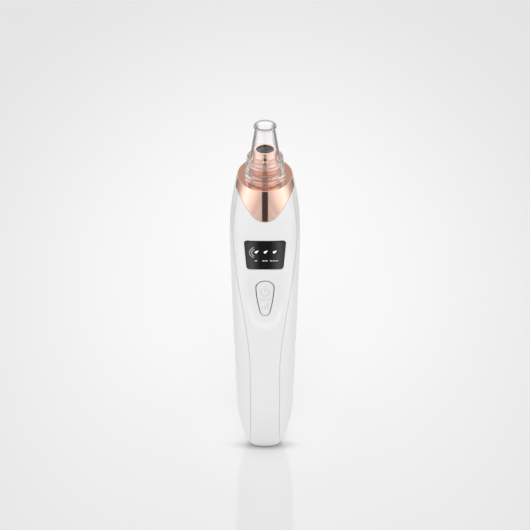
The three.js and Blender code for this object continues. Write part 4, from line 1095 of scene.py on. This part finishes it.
@dataclass(frozen=True)
class PowerButton:
    """Teardrop button with a power sign, a divider and level bars. Millimetres."""

    skin: BodySkin
    low: float = 91.6
    length: float = 22.5
    radius_high: float = 4.45
    radius_low: float = 2.25
    bulge: float = 0.4
    gap: float = 0.45
    proud: float = 0.35
    rim: float = 0.16
    steep: float = 0.5
    line: float = 0.42
    divider_line: float = 0.504
    bar_line: float = 0.63
    lift: float = 0.03
    back_gap: float = 0.4
    columns: int = 128
    rows: int = 18
    sign_gap: float = math.radians(38)
    sign_height: float = 106.9
    sign_radius: float = 2.2
    sign_stretch: float = 1.2
    stem: float = 3.6
    divider_height: float = 101.7
    divider_half: float = 2.7
    bars_low: float = 95.6
    bar_pitch: float = 1.5
    bar_heights: Triple = (1.6, 2.7, 3.8)

    def outline(self, grow: float) -> Outline:
        """Returns the button's outline, grown by a margin."""
        high, small = self.radius_high + grow, self.radius_low + grow
        return teardrop(0.0, self.low - grow, self.length + 2.0 * grow, high, small, bulge=self.bulge)

    def face(self, x: float, z: float) -> float:
        """Returns y of the button's face."""
        return self.skin.scooped_front(x, z) - self.proud

    def paint_groove_shade(self, piece: Object) -> None:
        """Paints shade on the steep walls round the button: a darker grey that stands in for the groove's
        shadow.

        Args:
            piece: Cap or panel that has the walls.
        """
        piece.data.materials.append(PAINTED_GROOVE_SHADE.material())
        reach = self.radius_high + 2.0 * self.gap
        low, high = self.low - 2.0 * self.gap, self.low + self.length + 2.0 * self.gap
        for face in piece.data.polygons:
            middle = face.center / MM
            if abs(face.normal.y) < self.steep and abs(middle.x) < reach and low < middle.z < high:
                face.material_index = 1

    def build(self) -> None:
        """Makes the cap and its marks."""
        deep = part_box("power_button")[1].y / MM
        cap = self.outline(0.0).plate(
            self.face, lambda x, z: deep - self.back_gap, self.rim, self.columns, self.rows
        )
        piece = finish_piece(cap, "button_cap", BUTTON_PLASTIC, Body.BUTTON, Slot.WHITE, ["power_button"])
        # Painted shade on the cap's steep walls, for the groove's shadow.
        self.paint_groove_shade(piece)
        start, end = QUARTER + self.sign_gap, 5.0 * QUARTER - self.sign_gap
        circle = Outline.arc(0.0, 0.0, self.sign_radius, start, end)

        def ring(t: float) -> Pair:
            """Returns a point of the power sign's ring, which is stretched upwards."""
            x, z = circle(t)
            return x, self.sign_height + z * self.sign_stretch

        stem = Outline.flank((0.0, self.sign_height), (0.0, self.sign_height + self.stem))
        half, height = self.divider_half, self.divider_height
        divider = Outline.flank((-half, height), (half, height))
        lines = [
            ribbon(ring, self.line, self.face, self.lift, columns=40),
            ribbon(stem, self.line, self.face, self.lift, columns=8),
            ribbon(divider, self.divider_line, self.face, self.lift, columns=12),
        ]
        for i, height in enumerate(self.bar_heights):
            x = (i - 1) * self.bar_pitch
            upright = Outline.flank((x, self.bars_low), (x, self.bars_low + height))
            lines.append(ribbon(upright, self.bar_line, self.face, self.lift, columns=6))
        finish_piece(joined(lines), "button_marks", MARK_GREY, Body.BUTTON, Slot.WHITE)


@dataclass(frozen=True)
class Shells:
    """White front panel and the rear shell that wraps the sides, the back and the foot. Millimetres."""

    skin: BodySkin
    window: DisplayWindow
    button: PowerButton
    rim: float = 0.14
    columns: int = 144
    heel_rings: int = 26
    body_rings: int = 92
    inner_rings: int = 24
    panel_columns: int = 72
    panel_rows: int = 170
    panel_tries: int = 8
    block_steps: int = 120
    block_low: float = -5.0
    foot_spread: float = 0.6
    floor_share: float = 0.02
    edge_power: int = 6
    rim_band: float = 0.06
    port_half: Pair = (4.75, 1.9)
    port_behind: float = 0.8
    port_below: float = 1.0
    port_past: float = 2.0

    def build(self) -> None:
        """Makes both shells."""
        self.build_rear()
        self.build_panel()

    def build_rear(self) -> None:
        """Makes the rear shell: a cup of the whole skin, cut along the panel and at the charging port."""
        skin = self.skin
        outer: list[Triple] = [(0.0, 0.0, 0.0), (0.0, 0.0, self.foot_spread)]
        for i in range(self.heel_rings):
            share = 1.0 - math.cos(i / self.heel_rings * QUARTER)
            outer.append((0.0, share * skin.heel / skin.edge_low, 1.0))
        for i in range(self.body_rings + 1):
            outer.append((0.0, mix(skin.heel / skin.edge_low, 1.0, i / self.body_rings), 1.0))
        inner: list[Triple] = [(skin.wall, 1.0, 1.0)]
        for i in range(1, self.inner_rings + 1):
            inner.append((skin.wall, mix(1.0, self.floor_share, i / self.inner_rings), 1.0))
        inner.append((skin.wall, self.floor_share, 0.0))
        path = outer + inner
        last = len(path) - 1

        def place(u: float, v: float) -> Vector:
            """Walks from the foot up the outside, over the edge and down the inside.

            Args:
                u: Share along the grid's columns.
                v: Share along its rows.

            Returns:
                The point.
            """
            turn = 2.0 * math.pi * u
            inset, share, spread = path[round(v * last)]
            top = skin.edge_at(turn, -skin.seam_gap / 2.0)
            z = share * mix(skin.edge_low, top, share**self.edge_power)
            spot = skin.point(turn, z, inset)
            return Vector((spot.x * spread, spot.y * spread, z))

        shell = warped_grid(self.columns, last, place)
        shell = carve(shell, self.panel_block(skin.seam_gap / 2.0))
        shell = carve(shell, self.port())
        finish_piece(shell, "rear_shell_skin", WHITE_PLASTIC, Body.HANDLE, Slot.WHITE, ["rear_shell"])

    def panel_block(self, grow: float) -> Solid:
        """Makes the front panel's room as a solid, grown sideways and backwards.

        Args:
            grow: Margin on its sides and back.

        Returns:
            The solid.
        """
        skin = self.skin
        steps = self.block_steps
        back = -skin.split_depth + grow

        def place(u: float, v: float) -> Vector:
            """Walks up the block and round its section, closed at both ends.

            Args:
                u: Share along the grid's columns.
                v: Share along its rows.

            Returns:
                The point.
            """
            step = round(v * (steps + 2))
            z = mix(self.block_low, skin.crown, min(max((step - 1) / steps, 0.0), 1.0))
            half = skin.seam_half(max(z, 0.0)) + grow
            section = ((-half, -FAR), (half, -FAR), (half, back), (-half, back), (-half, -FAR))
            side, y = section[round(u * 4)]
            if step in (0, steps + 2):
                side, y = 0.0, (back - FAR) / 2.0
            return Vector((side, y, z))

        return warped_grid(4, steps + 2, place)

    def port(self) -> Solid:
        """Makes the solid of the charging port's hole.

        Returns:
            The solid.
        """
        half_long, half_short = self.port_half
        slot = Outline(
            (
                (half_long - half_short, self.port_behind, half_short, -QUARTER, QUARTER),
                (half_short - half_long, self.port_behind, half_short, QUARTER, 3.0 * QUARTER),
            )
        )
        bm = slot.prism(-self.port_below, self.skin.wall + self.port_past, columns=40)
        for vert in bm.verts:
            vert.co = Vector((vert.co.x, vert.co.z, vert.co.y))
        bmesh.ops.recalc_face_normals(bm, faces=bm.faces)
        return bm

    def crowd(self, share: float, width: float) -> Pair:
        """Crowds grid lines into the rounded rims at both ends of a width.

        Args:
            share: From 0 to 1 across the grid.
            width: Real width in millimetres.

        Returns:
            The place from 0 to 1, and how far the surface sinks there.
        """
        band = self.rim_band
        near = min(share, 1.0 - share)
        rim = self.rim / width
        if near >= band:
            place = rim + (near - band) / (1.0 - 2.0 * band) * (1.0 - 2.0 * rim)
            sink = 0.0
        else:
            turn = near / band * QUARTER
            place = rim * (1.0 - math.cos(turn))
            sink = self.rim * (1.0 - math.sin(turn))
        return (place if share <= 0.5 else 1.0 - place), sink

    def build_panel(self) -> None:
        """Makes the front panel with its rims, thumb scoop, window hole and button hole."""
        skin = self.skin
        gap = skin.seam_gap / 2.0

        def place(u: float, v: float) -> Vector:
            """Spreads the grid over the front between the seams, the foot and the collar's edge.

            Args:
                u: Share along the grid's columns.
                v: Share along its rows.

            Returns:
                The point.
            """
            x = 0.0
            z = 0.0
            across, sink = self.crowd(u, 2.0 * skin.seam_wide)
            for _ in range(self.panel_tries):
                low, high = skin.panel_low(x), skin.edge(x) - gap
                along, dip = self.crowd(v, high - low)
                z = mix(low, high, along)
                x = (2.0 * across - 1.0) * (skin.seam_half(z) - gap)
            return Vector((x, skin.scooped_front(x, z) + max(sink, dip), z))

        panel = warped_grid(self.panel_columns, self.panel_rows, place)
        thick = skin.wall - self.rim
        grown = bmesh.ops.extrude_face_region(panel, geom=panel.faces[:])
        for item in grown["geom"]:
            if isinstance(item, bmesh.types.BMVert):
                item.co.y += thick
        bmesh.ops.recalc_face_normals(panel, faces=panel.faces)
        for hole, columns in (
            (self.window.outline(self.window.gap), 160),
            (self.button.outline(self.button.gap), 128),
        ):
            panel = carve(panel, hole.prism(-FAR, -skin.split_depth, columns))
        piece = finish_piece(
            panel, "front_panel_skin", WHITE_PLASTIC, Body.HANDLE, Slot.WHITE, ["front_panel"]
        )
        # Painted shade on the button hole's steep walls, for the groove's shadow.
        self.button.paint_groove_shade(piece)


@dataclass(frozen=True)
class Collar:
    """Plated collar: the crown of the body above the curved edge, round the nozzle. Millimetres."""

    skin: BodySkin
    columns: int = 192
    rings: int = 40
    rim: float = 0.3
    hole: float = 8.4
    top: float = 2.4
    spigot_low: float = 146.0
    spigot_inset: float = 2.5
    spigot_wall: float = 1.1

    def build(self) -> None:
        """Makes the collar as one closed ring."""
        skin = self.skin
        shoulder = skin.crown - skin.crown_round
        rim_steps, round_steps, top_steps = 4, 8, 10
        marks: list[tuple[Stretch, float]] = [(Stretch.RIM, i / rim_steps) for i in range(rim_steps)]
        marks += [(Stretch.SIDE, i / self.rings) for i in range(self.rings + 1)]
        marks += [(Stretch.CROWN, i / round_steps) for i in range(1, round_steps + 1)]
        marks += [(Stretch.TOP, i / top_steps) for i in range(1, top_steps + 1)]
        marks += [(Stretch.UNDER, 0.0), (Stretch.UNDER, 1.0), (Stretch.BORE, 1.0)]
        marks += [(Stretch.FOOT, 0.0), (Stretch.FOOT, 1.0), (Stretch.SEAT, 0.0), (Stretch.RIM, 0.0)]
        last = len(marks) - 1

        def place(u: float, v: float) -> Vector:
            """Walks up the plated side, over the top, down the hole and back inside the spigot.

            Args:
                u: Share along the grid's columns.
                v: Share along its rows.

            Returns:
                The point.
            """
            turn = 2.0 * math.pi * u
            stretch, share = marks[round(v * last)]
            low = skin.edge_at(turn, skin.seam_gap / 2.0)
            hole = Vector((self.hole * math.cos(turn), self.hole * math.sin(turn)))
            if stretch is Stretch.RIM:
                bend = share * QUARTER
                inset = self.rim * (1.0 - math.sin(bend))
                return skin.point(turn, low + self.rim * (1.0 - math.cos(bend)), inset)
            if stretch is Stretch.SIDE:
                return skin.point(turn, mix(low + self.rim, shoulder, share), 0.0)
            if stretch is Stretch.CROWN:
                bend = share * QUARTER
                inset = skin.crown_round * (1.0 - math.cos(bend))
                return skin.point(turn, shoulder + skin.crown_round * math.sin(bend), inset)
            if stretch is Stretch.TOP:
                spot = skin.point(turn, skin.crown, skin.crown_round)
                flat = spot.xy.lerp(hole, share)
                return Vector((*flat, skin.crown))
            under = skin.crown - self.top
            inner = self.spigot_inset + self.spigot_wall
            if stretch is Stretch.UNDER:
                flat = hole if share == 0.0 else skin.point(turn, under, inner).xy
                return Vector((*flat, under))
            if stretch is Stretch.BORE:
                return skin.point(turn, self.spigot_low, inner)
            if stretch is Stretch.FOOT:
                return skin.point(turn, self.spigot_low, mix(inner, self.spigot_inset, share))
            return skin.point(turn, low, self.spigot_inset)

        ring = warped_grid(self.columns, last, place)
        finish_piece(ring, "collar_plating", ROSE_PLATING, Body.HANDLE, Slot.ROSE_GOLD, ["collar"])


@dataclass(frozen=True)
class Nozzle:
    """Plated nozzle with its filter cup, and the foam filter in it. Millimetres."""

    crown: float = 167.2
    radius: float = 8.1
    band_radius: float = 8.25
    band_low: float = 5.8
    band_high: float = 7.2
    neck_radius: float = 6.3
    neck_low: float = 7.8
    flank_high: float = 12.6
    top: float = 14.8
    lip_radius: float = 5.75
    cup_radius: float = 4.45
    cup_depth: float = 3.6
    bore: float = 1.1
    barb_radii: Pair = (2.0, 2.35)
    barb_heights: Pair = (1.2, 2.0)
    plug: float = 3.5
    seal_height: float = 3.2
    seal_half: float = 0.67
    seal_floor: float = 7.13
    flange_half: Pair = (10.2, 12.8)
    flange: float = 1.5
    flange_hole: float = 0.3
    flange_under: float = 2.7
    steps: int = 128

    def build(self) -> None:
        """Makes the nozzle's post and the filter."""
        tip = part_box("nozzle")[0].z / MM
        stem, barb = self.barb_radii
        barb_low, barb_high = self.barb_heights
        base = self.crown
        seal_low = base + self.seal_height - self.seal_half
        seal_high = base + self.seal_height + self.seal_half
        cup_floor = base + self.top - self.cup_depth
        profile = rounded(
            [
                (self.bore, tip, 0.0),
                (stem, tip, 0.0),
                (barb, tip + barb_low, 0.0),
                (stem, tip + barb_high, 0.0),
                (stem, base - self.plug, 0.0),
                (self.radius, base - self.plug, 0.0),
                (self.radius, seal_low, 0.15),
                (self.seal_floor, seal_low, 0.1),
                (self.seal_floor, seal_high, 0.1),
                (self.radius, seal_high, 0.15),
                (self.radius, base + self.band_low, 0.1),
                (self.band_radius, base + self.band_low + 0.2, 0.15),
                (self.band_radius, base + self.band_high - 0.2, 0.2),
                (self.radius - 0.2, base + self.band_high, 0.2),
                (self.neck_radius, base + self.neck_low, 0.4),
                (self.lip_radius, base + self.flank_high, 0.6),
                (self.lip_radius, base + self.top, 0.45),
                (self.cup_radius, base + self.top, 0.35),
                (self.cup_radius, cup_floor, 0.2),
                (self.bore, cup_floor, 0.0),
            ]
        )
        high = base - self.flange_under
        low = high - self.flange
        hole = self.flange_hole
        flange = lathe([(hole, low), (1.0, low), (1.0, high), (hole, high)], self.steps)
        bmesh.ops.scale(flange, vec=(*self.flange_half, 1.0), verts=flange.verts)
        post = joined([lathe(profile, self.steps), flange])
        finish_piece(post, "nozzle_post", NOZZLE_PLATING, Body.HANDLE, Slot.ROSE_GOLD, ["nozzle"])
        self.build_filter()

    def build_filter(self) -> None:
        """Makes the foam filter."""
        low, high = (corner.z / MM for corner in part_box("filter_sponge"))
        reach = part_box("filter_sponge")[1].x / MM
        profile = rounded([(AXIS, low, 0.0), (reach, low, 0.3), (reach, high, 0.5), (AXIS, high, 0.0)])
        disc = lathe(profile, self.steps // 2)
        foam = SLOT_FINISHES[Slot.FOAM]
        finish_piece(disc, "filter_disc", foam, Body.FILTER, Slot.FOAM, ["filter_sponge"])


@dataclass(frozen=True)
class SuctionHead:
    """Clear suction head: flange and skirt over the nozzle, a cone and a rounded mouth. Millimetres."""

    flange_radius: float = 10.4
    flange: float = 1.5
    skirt_low: float = 9.9
    skirt_high: float = 9.15
    skirt_height: float = 10.1
    bore: float = 8.47
    cone_low: float = 7.75
    cone_high: float = 5.0
    cone_wall: float = 0.82
    lip_radius: float = 5.7
    lip_height: float = 1.7
    mouth: float = 4.3
    groove: float = 1.1
    brim: float = 0.6
    lip_flare: float = 0.4
    ceiling: Pair = (1.3, 2.2)
    rim: float = 0.75
    crease: float = 60.0
    steps: int = 128

    def build(self) -> None:
        """Makes the head, with painted shade: a greyer tint on the rim round its mouth."""
        low, high = (corner.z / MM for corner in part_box("suction_head"))
        skirt_top = low + self.skirt_height
        cone_top = high - self.lip_height
        profile = rounded(
            [
                (self.bore, low, 0.1),
                (self.flange_radius, low, 0.45),
                (self.flange_radius, low + self.flange, 0.35),
                (self.skirt_low, low + self.flange, 0.2),
                (self.skirt_high, skirt_top, 0.25),
                (self.skirt_high - self.brim, skirt_top, 0.25),
                (self.cone_low, skirt_top - self.groove, 0.3),
                (self.cone_high, cone_top, 0.3),
                (self.lip_radius, cone_top + self.lip_flare, 0.4),
                (self.lip_radius, high, 0.65),
                (self.mouth, high, 0.5),
                (self.mouth, cone_top, 0.4),
                (self.cone_low - self.cone_wall, skirt_top - self.ceiling[0], 0.4),
                (self.bore, skirt_top - self.ceiling[1], 0.4),
            ],
            segments=6,
        )
        shape = lathe(profile, self.steps)
        piece = finish_piece(
            shape, "clear_head", CLEAR_PLASTIC, Body.HEAD, Slot.CLEAR, ["suction_head"], self.crease
        )
        # Painted shade: the faces at the top of the mouth's rim take the greyer tint.
        piece.data.materials.append(CLEAR_RIM_PAINTED_SHADE.material())
        for face in piece.data.polygons:
            if face.center.z / MM > high - self.rim:
                face.material_index = 1


@dataclass(frozen=True)
class Insides:
    """Pieces inside the body, which keep their CAD shapes."""

    record: dict
    special: dict[str, PlainFinish]

    def dress(self) -> None:
        """Gives each CAD node that still shows the finish of its slot."""
        for row in self.record["subparts"]:
            node = frame["nodes"][row["node"]]
            finish = self.special.get(row["node"], SLOT_FINISHES[Slot(row["material_slot"])])
            node.data.materials.clear()
            node.data.materials.append(finish.material())
            LOG.info("%s: %s", row["node"], finish.name)


@dataclass(frozen=True)
class Card:
    """Flat glowing card that only reflections see. Metres."""

    name: str
    place: Triple
    size: Pair
    facing: Triple
    tone: Colour
    strength: float

    def glow(self) -> Material:
        """Makes the card's plain glow.

        Returns:
            The material.
        """
        material = bpy.data.materials.new(self.name)
        material.use_nodes = True
        tree = material.node_tree
        tree.nodes.clear()
        glow = tree.nodes.new("ShaderNodeEmission")
        glow.inputs["Color"].default_value = (*self.tone, 1.0)
        glow.inputs["Strength"].default_value = self.strength
        output = tree.nodes.new("ShaderNodeOutputMaterial")
        tree.links.new(glow.outputs["Emission"], output.inputs["Surface"])
        return material

    def build(self) -> None:
        """Makes the card."""
        bm = bmesh.new()
        bmesh.ops.create_grid(bm, x_segments=1, y_segments=1, size=0.5)
        bmesh.ops.scale(bm, vec=(*self.size, 1.0), verts=bm.verts)
        turn = Vector(self.facing).to_track_quat("Z", "Y").to_matrix().to_4x4()
        bmesh.ops.transform(bm, matrix=Matrix.Translation(self.place) @ turn, verts=bm.verts)
        card = make_object(bm, self.name, self.glow())
        card.visible_camera = False
        card.visible_diffuse = False
        card.visible_shadow = False
        card.visible_transmission = False


BACK_CARD = Card("back_card", (0.0, 0.3, 0.347), (0.2, 0.07), (0.0, -1.0, 0.0), (1.0, 0.84, 0.75), 0.58)


@dataclass(frozen=True)
class Studio:
    """Pale floor, soft light and the camera. Metres, with degrees for bearings from the front."""

    aim_height: float = 0.1126
    elevation: float = math.radians(32.75)
    distance: float = 1.3
    lens: float = 171.0
    sensor: float = 36.0
    view_end: float = 50.0
    floor_half: float = 6.0
    floor_roughness: float = 0.06
    floor_specular: float = 1.0
    # Painted pool of light: the floor's colour is brightest round its middle and dimmer outwards.
    painted_pool_bright: Colour = (0.875, 0.875, 0.875)
    painted_pool_dim: Colour = (0.665, 0.665, 0.665)
    painted_pool_middle: float = 0.185
    painted_pool_reach: Pair = (0.25, 0.46)
    # Painted contact shadow: a dark oval in the floor's colour at the foot's front edge.
    painted_shadow_middle: float = -0.0042
    painted_shadow_reach: Pair = (0.0225, 0.0058)
    painted_shadow_tone: Colour = (0.5, 0.5, 0.5)
    # Painted light: a lighter halo in the floor's colour round the foot.
    painted_halo_reach: Pair = (0.055, 0.055)
    painted_halo_tone: Colour = (1.08, 1.08, 1.08)
    world_strength: float = 0.7
    world_mirrored: float = 1.38
    bounces: int = 24
    mirror_borders: Pair = (0.265, 0.315)
    border_lean: float = 0.0002
    near_tones: Tones = ((0.0, 0.1), (1.5, 0.1), (3.0, 0.5), (10.0, 1.6), (26.0, 0.9))
    # Painted shade: mirrored rays see the floor dark close to the foot, so the foot's front looks shaded.
    painted_foot_shade: Tones = ((0.012, 0.0), (0.03, 0.1), (0.07, 1.0))
    foot_sides: Tones = ((25.0, 0.0), (60.0, 1.0))
    post_tones: Tones = (
        (0.0, 0.3), (18.0, 0.3), (26.0, 0.75), (42.0, 0.7), (60.0, 1.0), (105.0, 1.0), (130.0, 0.5),
        (150.0, 0.4),
    )
    low_tones: Tones = (
        (3.0, 0.75), (8.0, 0.8), (14.0, 0.95), (22.0, 1.08), (40.0, 1.3), (108.0, 1.3), (122.0, 0.6),
        (132.0, 0.48), (138.0, 0.25), (145.0, 0.25), (151.0, 0.6),
    )
    low_fade: Pair = (0.40, 0.47)
    far_tones: Tones = (
        (10.0, 0.75), (25.0, 0.85), (45.0, 1.2), (65.0, 1.5), (82.0, 1.7), (100.0, 1.2), (112.0, 0.75),
        (124.0, 0.5), (132.0, 0.48), (138.0, 0.25), (145.0, 0.25), (151.0, 0.6),
    )
    stripe_edge: Tones = (
        (0.323, 0.9), (0.337, 1.3), (0.352, 1.9), (0.37, 2.8), (0.39, 4.3), (0.412, 6.3), (0.434, 8.8),
        (0.452, 11.4), (0.463, 14.0),
    )
    stripe_tone: float = 0.07
    stripe_blur: float = 0.06
    ring_strength: float = 1.3
    side_place: Triple = (0.107, -0.075, 0.032)
    side_size: Pair = (0.105, 0.064)
    side_power: float = 0.032
    top_power: float = 12.0
    front_power: float = 9.0
    ring_tones: Tones = (
        (-180.0, 1.1), (-150.0, 1.1), (-130.0, 0.5), (-105.0, 0.75), (-60.0, 0.8), (-42.0, 0.7),
        (-26.0, 0.75), (-18.0, 0.36), (18.0, 0.36), (26.0, 0.75), (42.0, 0.7), (60.0, 1.0),
        (105.0, 1.0), (130.0, 0.5), (150.0, 1.1), (180.0, 1.1),
    )

    def build(self) -> None:
        """Makes the whole studio."""
        self.build_camera()
        self.let_light_bounce()
        self.build_floor()
        self.build_world()
        self.build_lamps()
        BACK_CARD.build()

    def camera_place(self) -> Vector:
        """Returns where the camera stands."""
        reach = Vector((0.0, -math.cos(self.elevation), math.sin(self.elevation)))
        return Vector((0.0, 0.0, self.aim_height)) + reach * self.distance

    def build_camera(self) -> None:
        """Makes the camera at the photograph's viewing angle."""
        data = bpy.data.cameras.new("camera")
        data.lens = self.lens
        data.sensor_width = self.sensor
        data.clip_end = self.view_end
        camera = bpy.data.objects.new("camera", data)
        camera.location = self.camera_place()
        camera.rotation_euler = (QUARTER - self.elevation, 0.0, 0.0)
        bpy.context.scene.collection.objects.link(camera)
        bpy.context.scene.camera = camera

    def let_light_bounce(self) -> None:
        """Lets light bounce often enough inside the clear head's walls to come out again."""
        cycles = bpy.context.scene.cycles
        cycles.max_bounces = self.bounces
        cycles.glossy_bounces = self.bounces
        cycles.transmission_bounces = self.bounces

    def build_floor(self) -> None:
        """Makes the pale floor, with painted light and shade in its colour: a painted pool of light
        brightest round the object, a painted contact shadow at the foot and a painted lighter halo round it.
        """
        bm = bmesh.new()
        bmesh.ops.create_grid(bm, x_segments=1, y_segments=1, size=self.floor_half)
        material = bpy.data.materials.new("pale_floor")
        material.use_nodes = True
        tree = material.node_tree
        shader = tree.nodes["Principled BSDF"]
        shader.inputs["Roughness"].default_value = self.floor_roughness
        shader.inputs["Specular IOR Level"].default_value = self.floor_specular
        coords = tree.nodes.new("ShaderNodeTexCoord")
        plain = (1.0, 1.0, 1.0)
        tone = None
        # Painted light and shade in the floor's colour: pool of light, contact shadow and lighter halo,
        # multiplied together.
        for middle, reach, outside, inside in (
            (self.painted_pool_middle, self.painted_pool_reach, self.painted_pool_dim, self.painted_pool_bright),
            (self.painted_shadow_middle, self.painted_shadow_reach, plain, self.painted_shadow_tone),
            (0.0, self.painted_halo_reach, plain, self.painted_halo_tone),
        ):
            ramp = self.spot(tree, coords, (0.0, middle), reach)
            set_ramp(ramp, ((0.0, outside), (1.0, inside)))
            if tone is None:
                tone = ramp.outputs["Color"]
                continue
            both = tree.nodes.new("ShaderNodeMix")
            both.data_type = "RGBA"
            both.blend_type = "MULTIPLY"
            both.inputs["Factor"].default_value = 1.0
            tree.links.new(tone, both.inputs["A"])
            tree.links.new(ramp.outputs["Color"], both.inputs["B"])
            tone = both.outputs["Result"]
        tree.links.new(tone, shader.inputs["Base Color"])
        glow = tree.nodes.new("ShaderNodeEmission")
        tree.links.new(self.mirrored_floor(tree, coords), glow.inputs["Strength"])
        choice = tree.nodes.new("ShaderNodeMixShader")
        path = tree.nodes.new("ShaderNodeLightPath").outputs
        sharp = calculate(tree, "SUBTRACT", 1.0, path["Diffuse Depth"])
        tree.links.new(calculate(tree, "MULTIPLY", path["Glossy Depth"], sharp), choice.inputs["Fac"])
        tree.links.new(shader.outputs["BSDF"], choice.inputs[1])
        tree.links.new(glow.outputs["Emission"], choice.inputs[2])
        tree.links.new(choice.outputs["Shader"], tree.nodes["Material Output"].inputs["Surface"])
        floor = make_object(bm, "floor", material)

    def mirrored_floor(self, tree: Tree, coords: Node) -> Socket:
        """Adds the brightness of the floor as mirrored rays see it: pale at the sides, a dark gap in front.

        The window and the panel mirror the floor near the foot, the nozzle's post the floor beyond it, and
        the collar the floor farthest out.

        Args:
            tree: Floor's node tree.
            coords: Its coordinates node.

        Returns:
            The brightness.
        """
        parts = tree.nodes.new("ShaderNodeSeparateXYZ")
        length = tree.nodes.new("ShaderNodeVectorMath")
        length.operation = "LENGTH"
        tree.links.new(coords.outputs["Object"], parts.inputs["Vector"])
        tree.links.new(coords.outputs["Object"], length.inputs[0])
        away = length.outputs["Value"]
        degrees = bearing(tree, calculate(tree, "ABSOLUTE", parts.outputs["X"]), parts.outputs["Y"])
        edge = tone_ramp(tree, away, self.stripe_edge)
        inside = tree.nodes.new("ShaderNodeMapRange")
        inside.inputs["From Min"].default_value = 1.0 + self.stripe_blur
        inside.inputs["From Max"].default_value = 1.0 - self.stripe_blur
        tree.links.new(calculate(tree, "DIVIDE", degrees, edge), inside.inputs["Value"])
        fade = tree.nodes.new("ShaderNodeMapRange")
        fade.inputs["From Min"].default_value, fade.inputs["From Max"].default_value = self.low_fade
        tree.links.new(away, fade.inputs["Value"])
        zones = (self.near_tones, self.post_tones, self.low_tones, self.far_tones)
        near, post, low, far = (tone_ramp(tree, degrees, tones) for tones in zones)
        flanks = blend(tree, fade.outputs["Result"], low, far)
        collar = blend(tree, inside.outputs["Result"], flanks, self.stripe_tone)
        leaning = calculate(tree, "ADD", away, calculate(tree, "MULTIPLY", degrees, self.border_lean))
        near_border, far_border = (
            calculate(tree, "GREATER_THAN", leaning, border) for border in self.mirror_borders
        )
        # Painted shade: darker near the foot, full brightness off to the sides.
        foot = tone_ramp(tree, away, self.painted_foot_shade)
        foot = blend(tree, tone_ramp(tree, degrees, self.foot_sides), foot, 1.0)
        near = calculate(tree, "MULTIPLY", near, foot)
        return blend(tree, far_border, blend(tree, near_border, near, post), collar)

    @staticmethod
    def spot(tree: Tree, coords: Node, middle: Pair, reach: Pair) -> Node:
        """Adds an oval spot that fades outwards to the floor's nodes.

        Args:
            tree: Floor's node tree.
            coords: Its coordinates node.
            middle: Middle of the spot.
            reach: Half width and half length where it ends.

        Returns:
            The ramp from the outside to the middle.
        """
        mapping = tree.nodes.new("ShaderNodeMapping")
        mapping.vector_type = "TEXTURE"
        mapping.inputs["Location"].default_value = (*middle, 0.0)
        mapping.inputs["Scale"].default_value = (*reach, 1.0)
        gradient = tree.nodes.new("ShaderNodeTexGradient")
        gradient.gradient_type = "SPHERICAL"
        ramp = tree.nodes.new("ShaderNodeValToRGB")
        ramp.color_ramp.interpolation = "EASE"
        tree.links.new(coords.outputs["Object"], mapping.inputs["Vector"])
        tree.links.new(mapping.outputs["Vector"], gradient.inputs["Vector"])
        tree.links.new(gradient.outputs["Fac"], ramp.inputs["Fac"])
        return ramp

    def build_world(self) -> None:
        """Makes the room's even light, brighter for mirrored rays, and its tones for the clear head."""
        world = bpy.data.worlds.new("room")
        bpy.context.scene.world = world
        world.use_nodes = True
        tree = world.node_tree
        back = tree.nodes["Background"]
        back.inputs["Color"].default_value = (1.0, 1.0, 1.0, 1.0)
        path = tree.nodes.new("ShaderNodeLightPath").outputs
        plain = blend(tree, path["Is Glossy Ray"], self.world_strength, self.world_mirrored)
        sharp = calculate(tree, "SUBTRACT", 1.0, path["Diffuse Depth"])
        clear = calculate(tree, "MULTIPLY", path["Transmission Depth"], sharp)
        coords = tree.nodes.new("ShaderNodeTexCoord")
        parts = tree.nodes.new("ShaderNodeSeparateXYZ")
        tree.links.new(coords.outputs["Generated"], parts.inputs["Vector"])
        degrees = bearing(tree, parts.outputs["X"], parts.outputs["Y"])
        ring = calculate(tree, "MULTIPLY", tone_ramp(tree, degrees, self.ring_tones), self.ring_strength)
        tree.links.new(blend(tree, clear, plain, ring), back.inputs["Strength"])

    def build_lamps(self) -> None:
        """Makes the large soft lamps, and two low ones that only the white plastic mirrors."""
        self.lamp("top_lamp", (0.0, 0.2, 1.8), (0.0, 0.2, 0.0), (2.0, 2.0), self.top_power)
        self.lamp("front_lamp", (0.0, -1.7, 1.2), (0.0, 0.0, 0.1), (1.4, 1.4), self.front_power)
        white = bpy.data.collections.new("white_pieces")
        for piece in ("rear_shell_skin", "front_panel_skin", "button_cap"):
            white.objects.link(bpy.data.objects[piece])
        for name, side in (("left_lamp", -1.0), ("right_lamp", 1.0)):
            across, along, high = self.side_place
            place = (side * across, along, high)
            low = self.lamp(name, place, (0.0, 0.0, high), self.side_size, self.side_power)
            low.visible_diffuse = False
            low.visible_glossy = True
            low.light_linking.receiver_collection = white

    def lamp(self, name: str, place: Triple, aim: Triple, size: Pair, power: float) -> Object:
        """Makes one lamp.

        Args:
            name: Name of the lamp.
            place: Where it hangs.
            aim: Where it points.
            size: Its width and height.
            power: Its power in watts.

        Returns:
            The lamp.
        """
        data = bpy.data.lights.new(name, "AREA")
        data.shape = "RECTANGLE"
        data.size, data.size_y = size
        data.energy = power
        lamp = bpy.data.objects.new(name, data)
        lamp.location = place
        facing = Vector(aim) - Vector(place)
        lamp.rotation_euler = facing.to_track_quat("-Z", "Y").to_euler()
        lamp.visible_glossy = False
        lamp.visible_transmission = False
        bpy.context.scene.collection.objects.link(lamp)
        return lamp


def main() -> None:
    """Builds the part's pieces in order, then the studio."""
    logging.basicConfig(level=logging.INFO, format="%(name)s %(message)s")
    bpy.context.scene.view_settings.view_transform = "Standard"
    skin = BodySkin()
    window = DisplayWindow(skin)
    button = PowerButton(skin)
    Insides(frame["record"], {"nozzle_seal_ring": SEAL_SILICONE}).dress()
    Shells(skin, window, button).build()
    Collar(skin).build()
    Nozzle().build()
    SuctionHead().build()
    window.build()
    button.build()
    Studio().build()


if __name__ == "__main__":
    main()
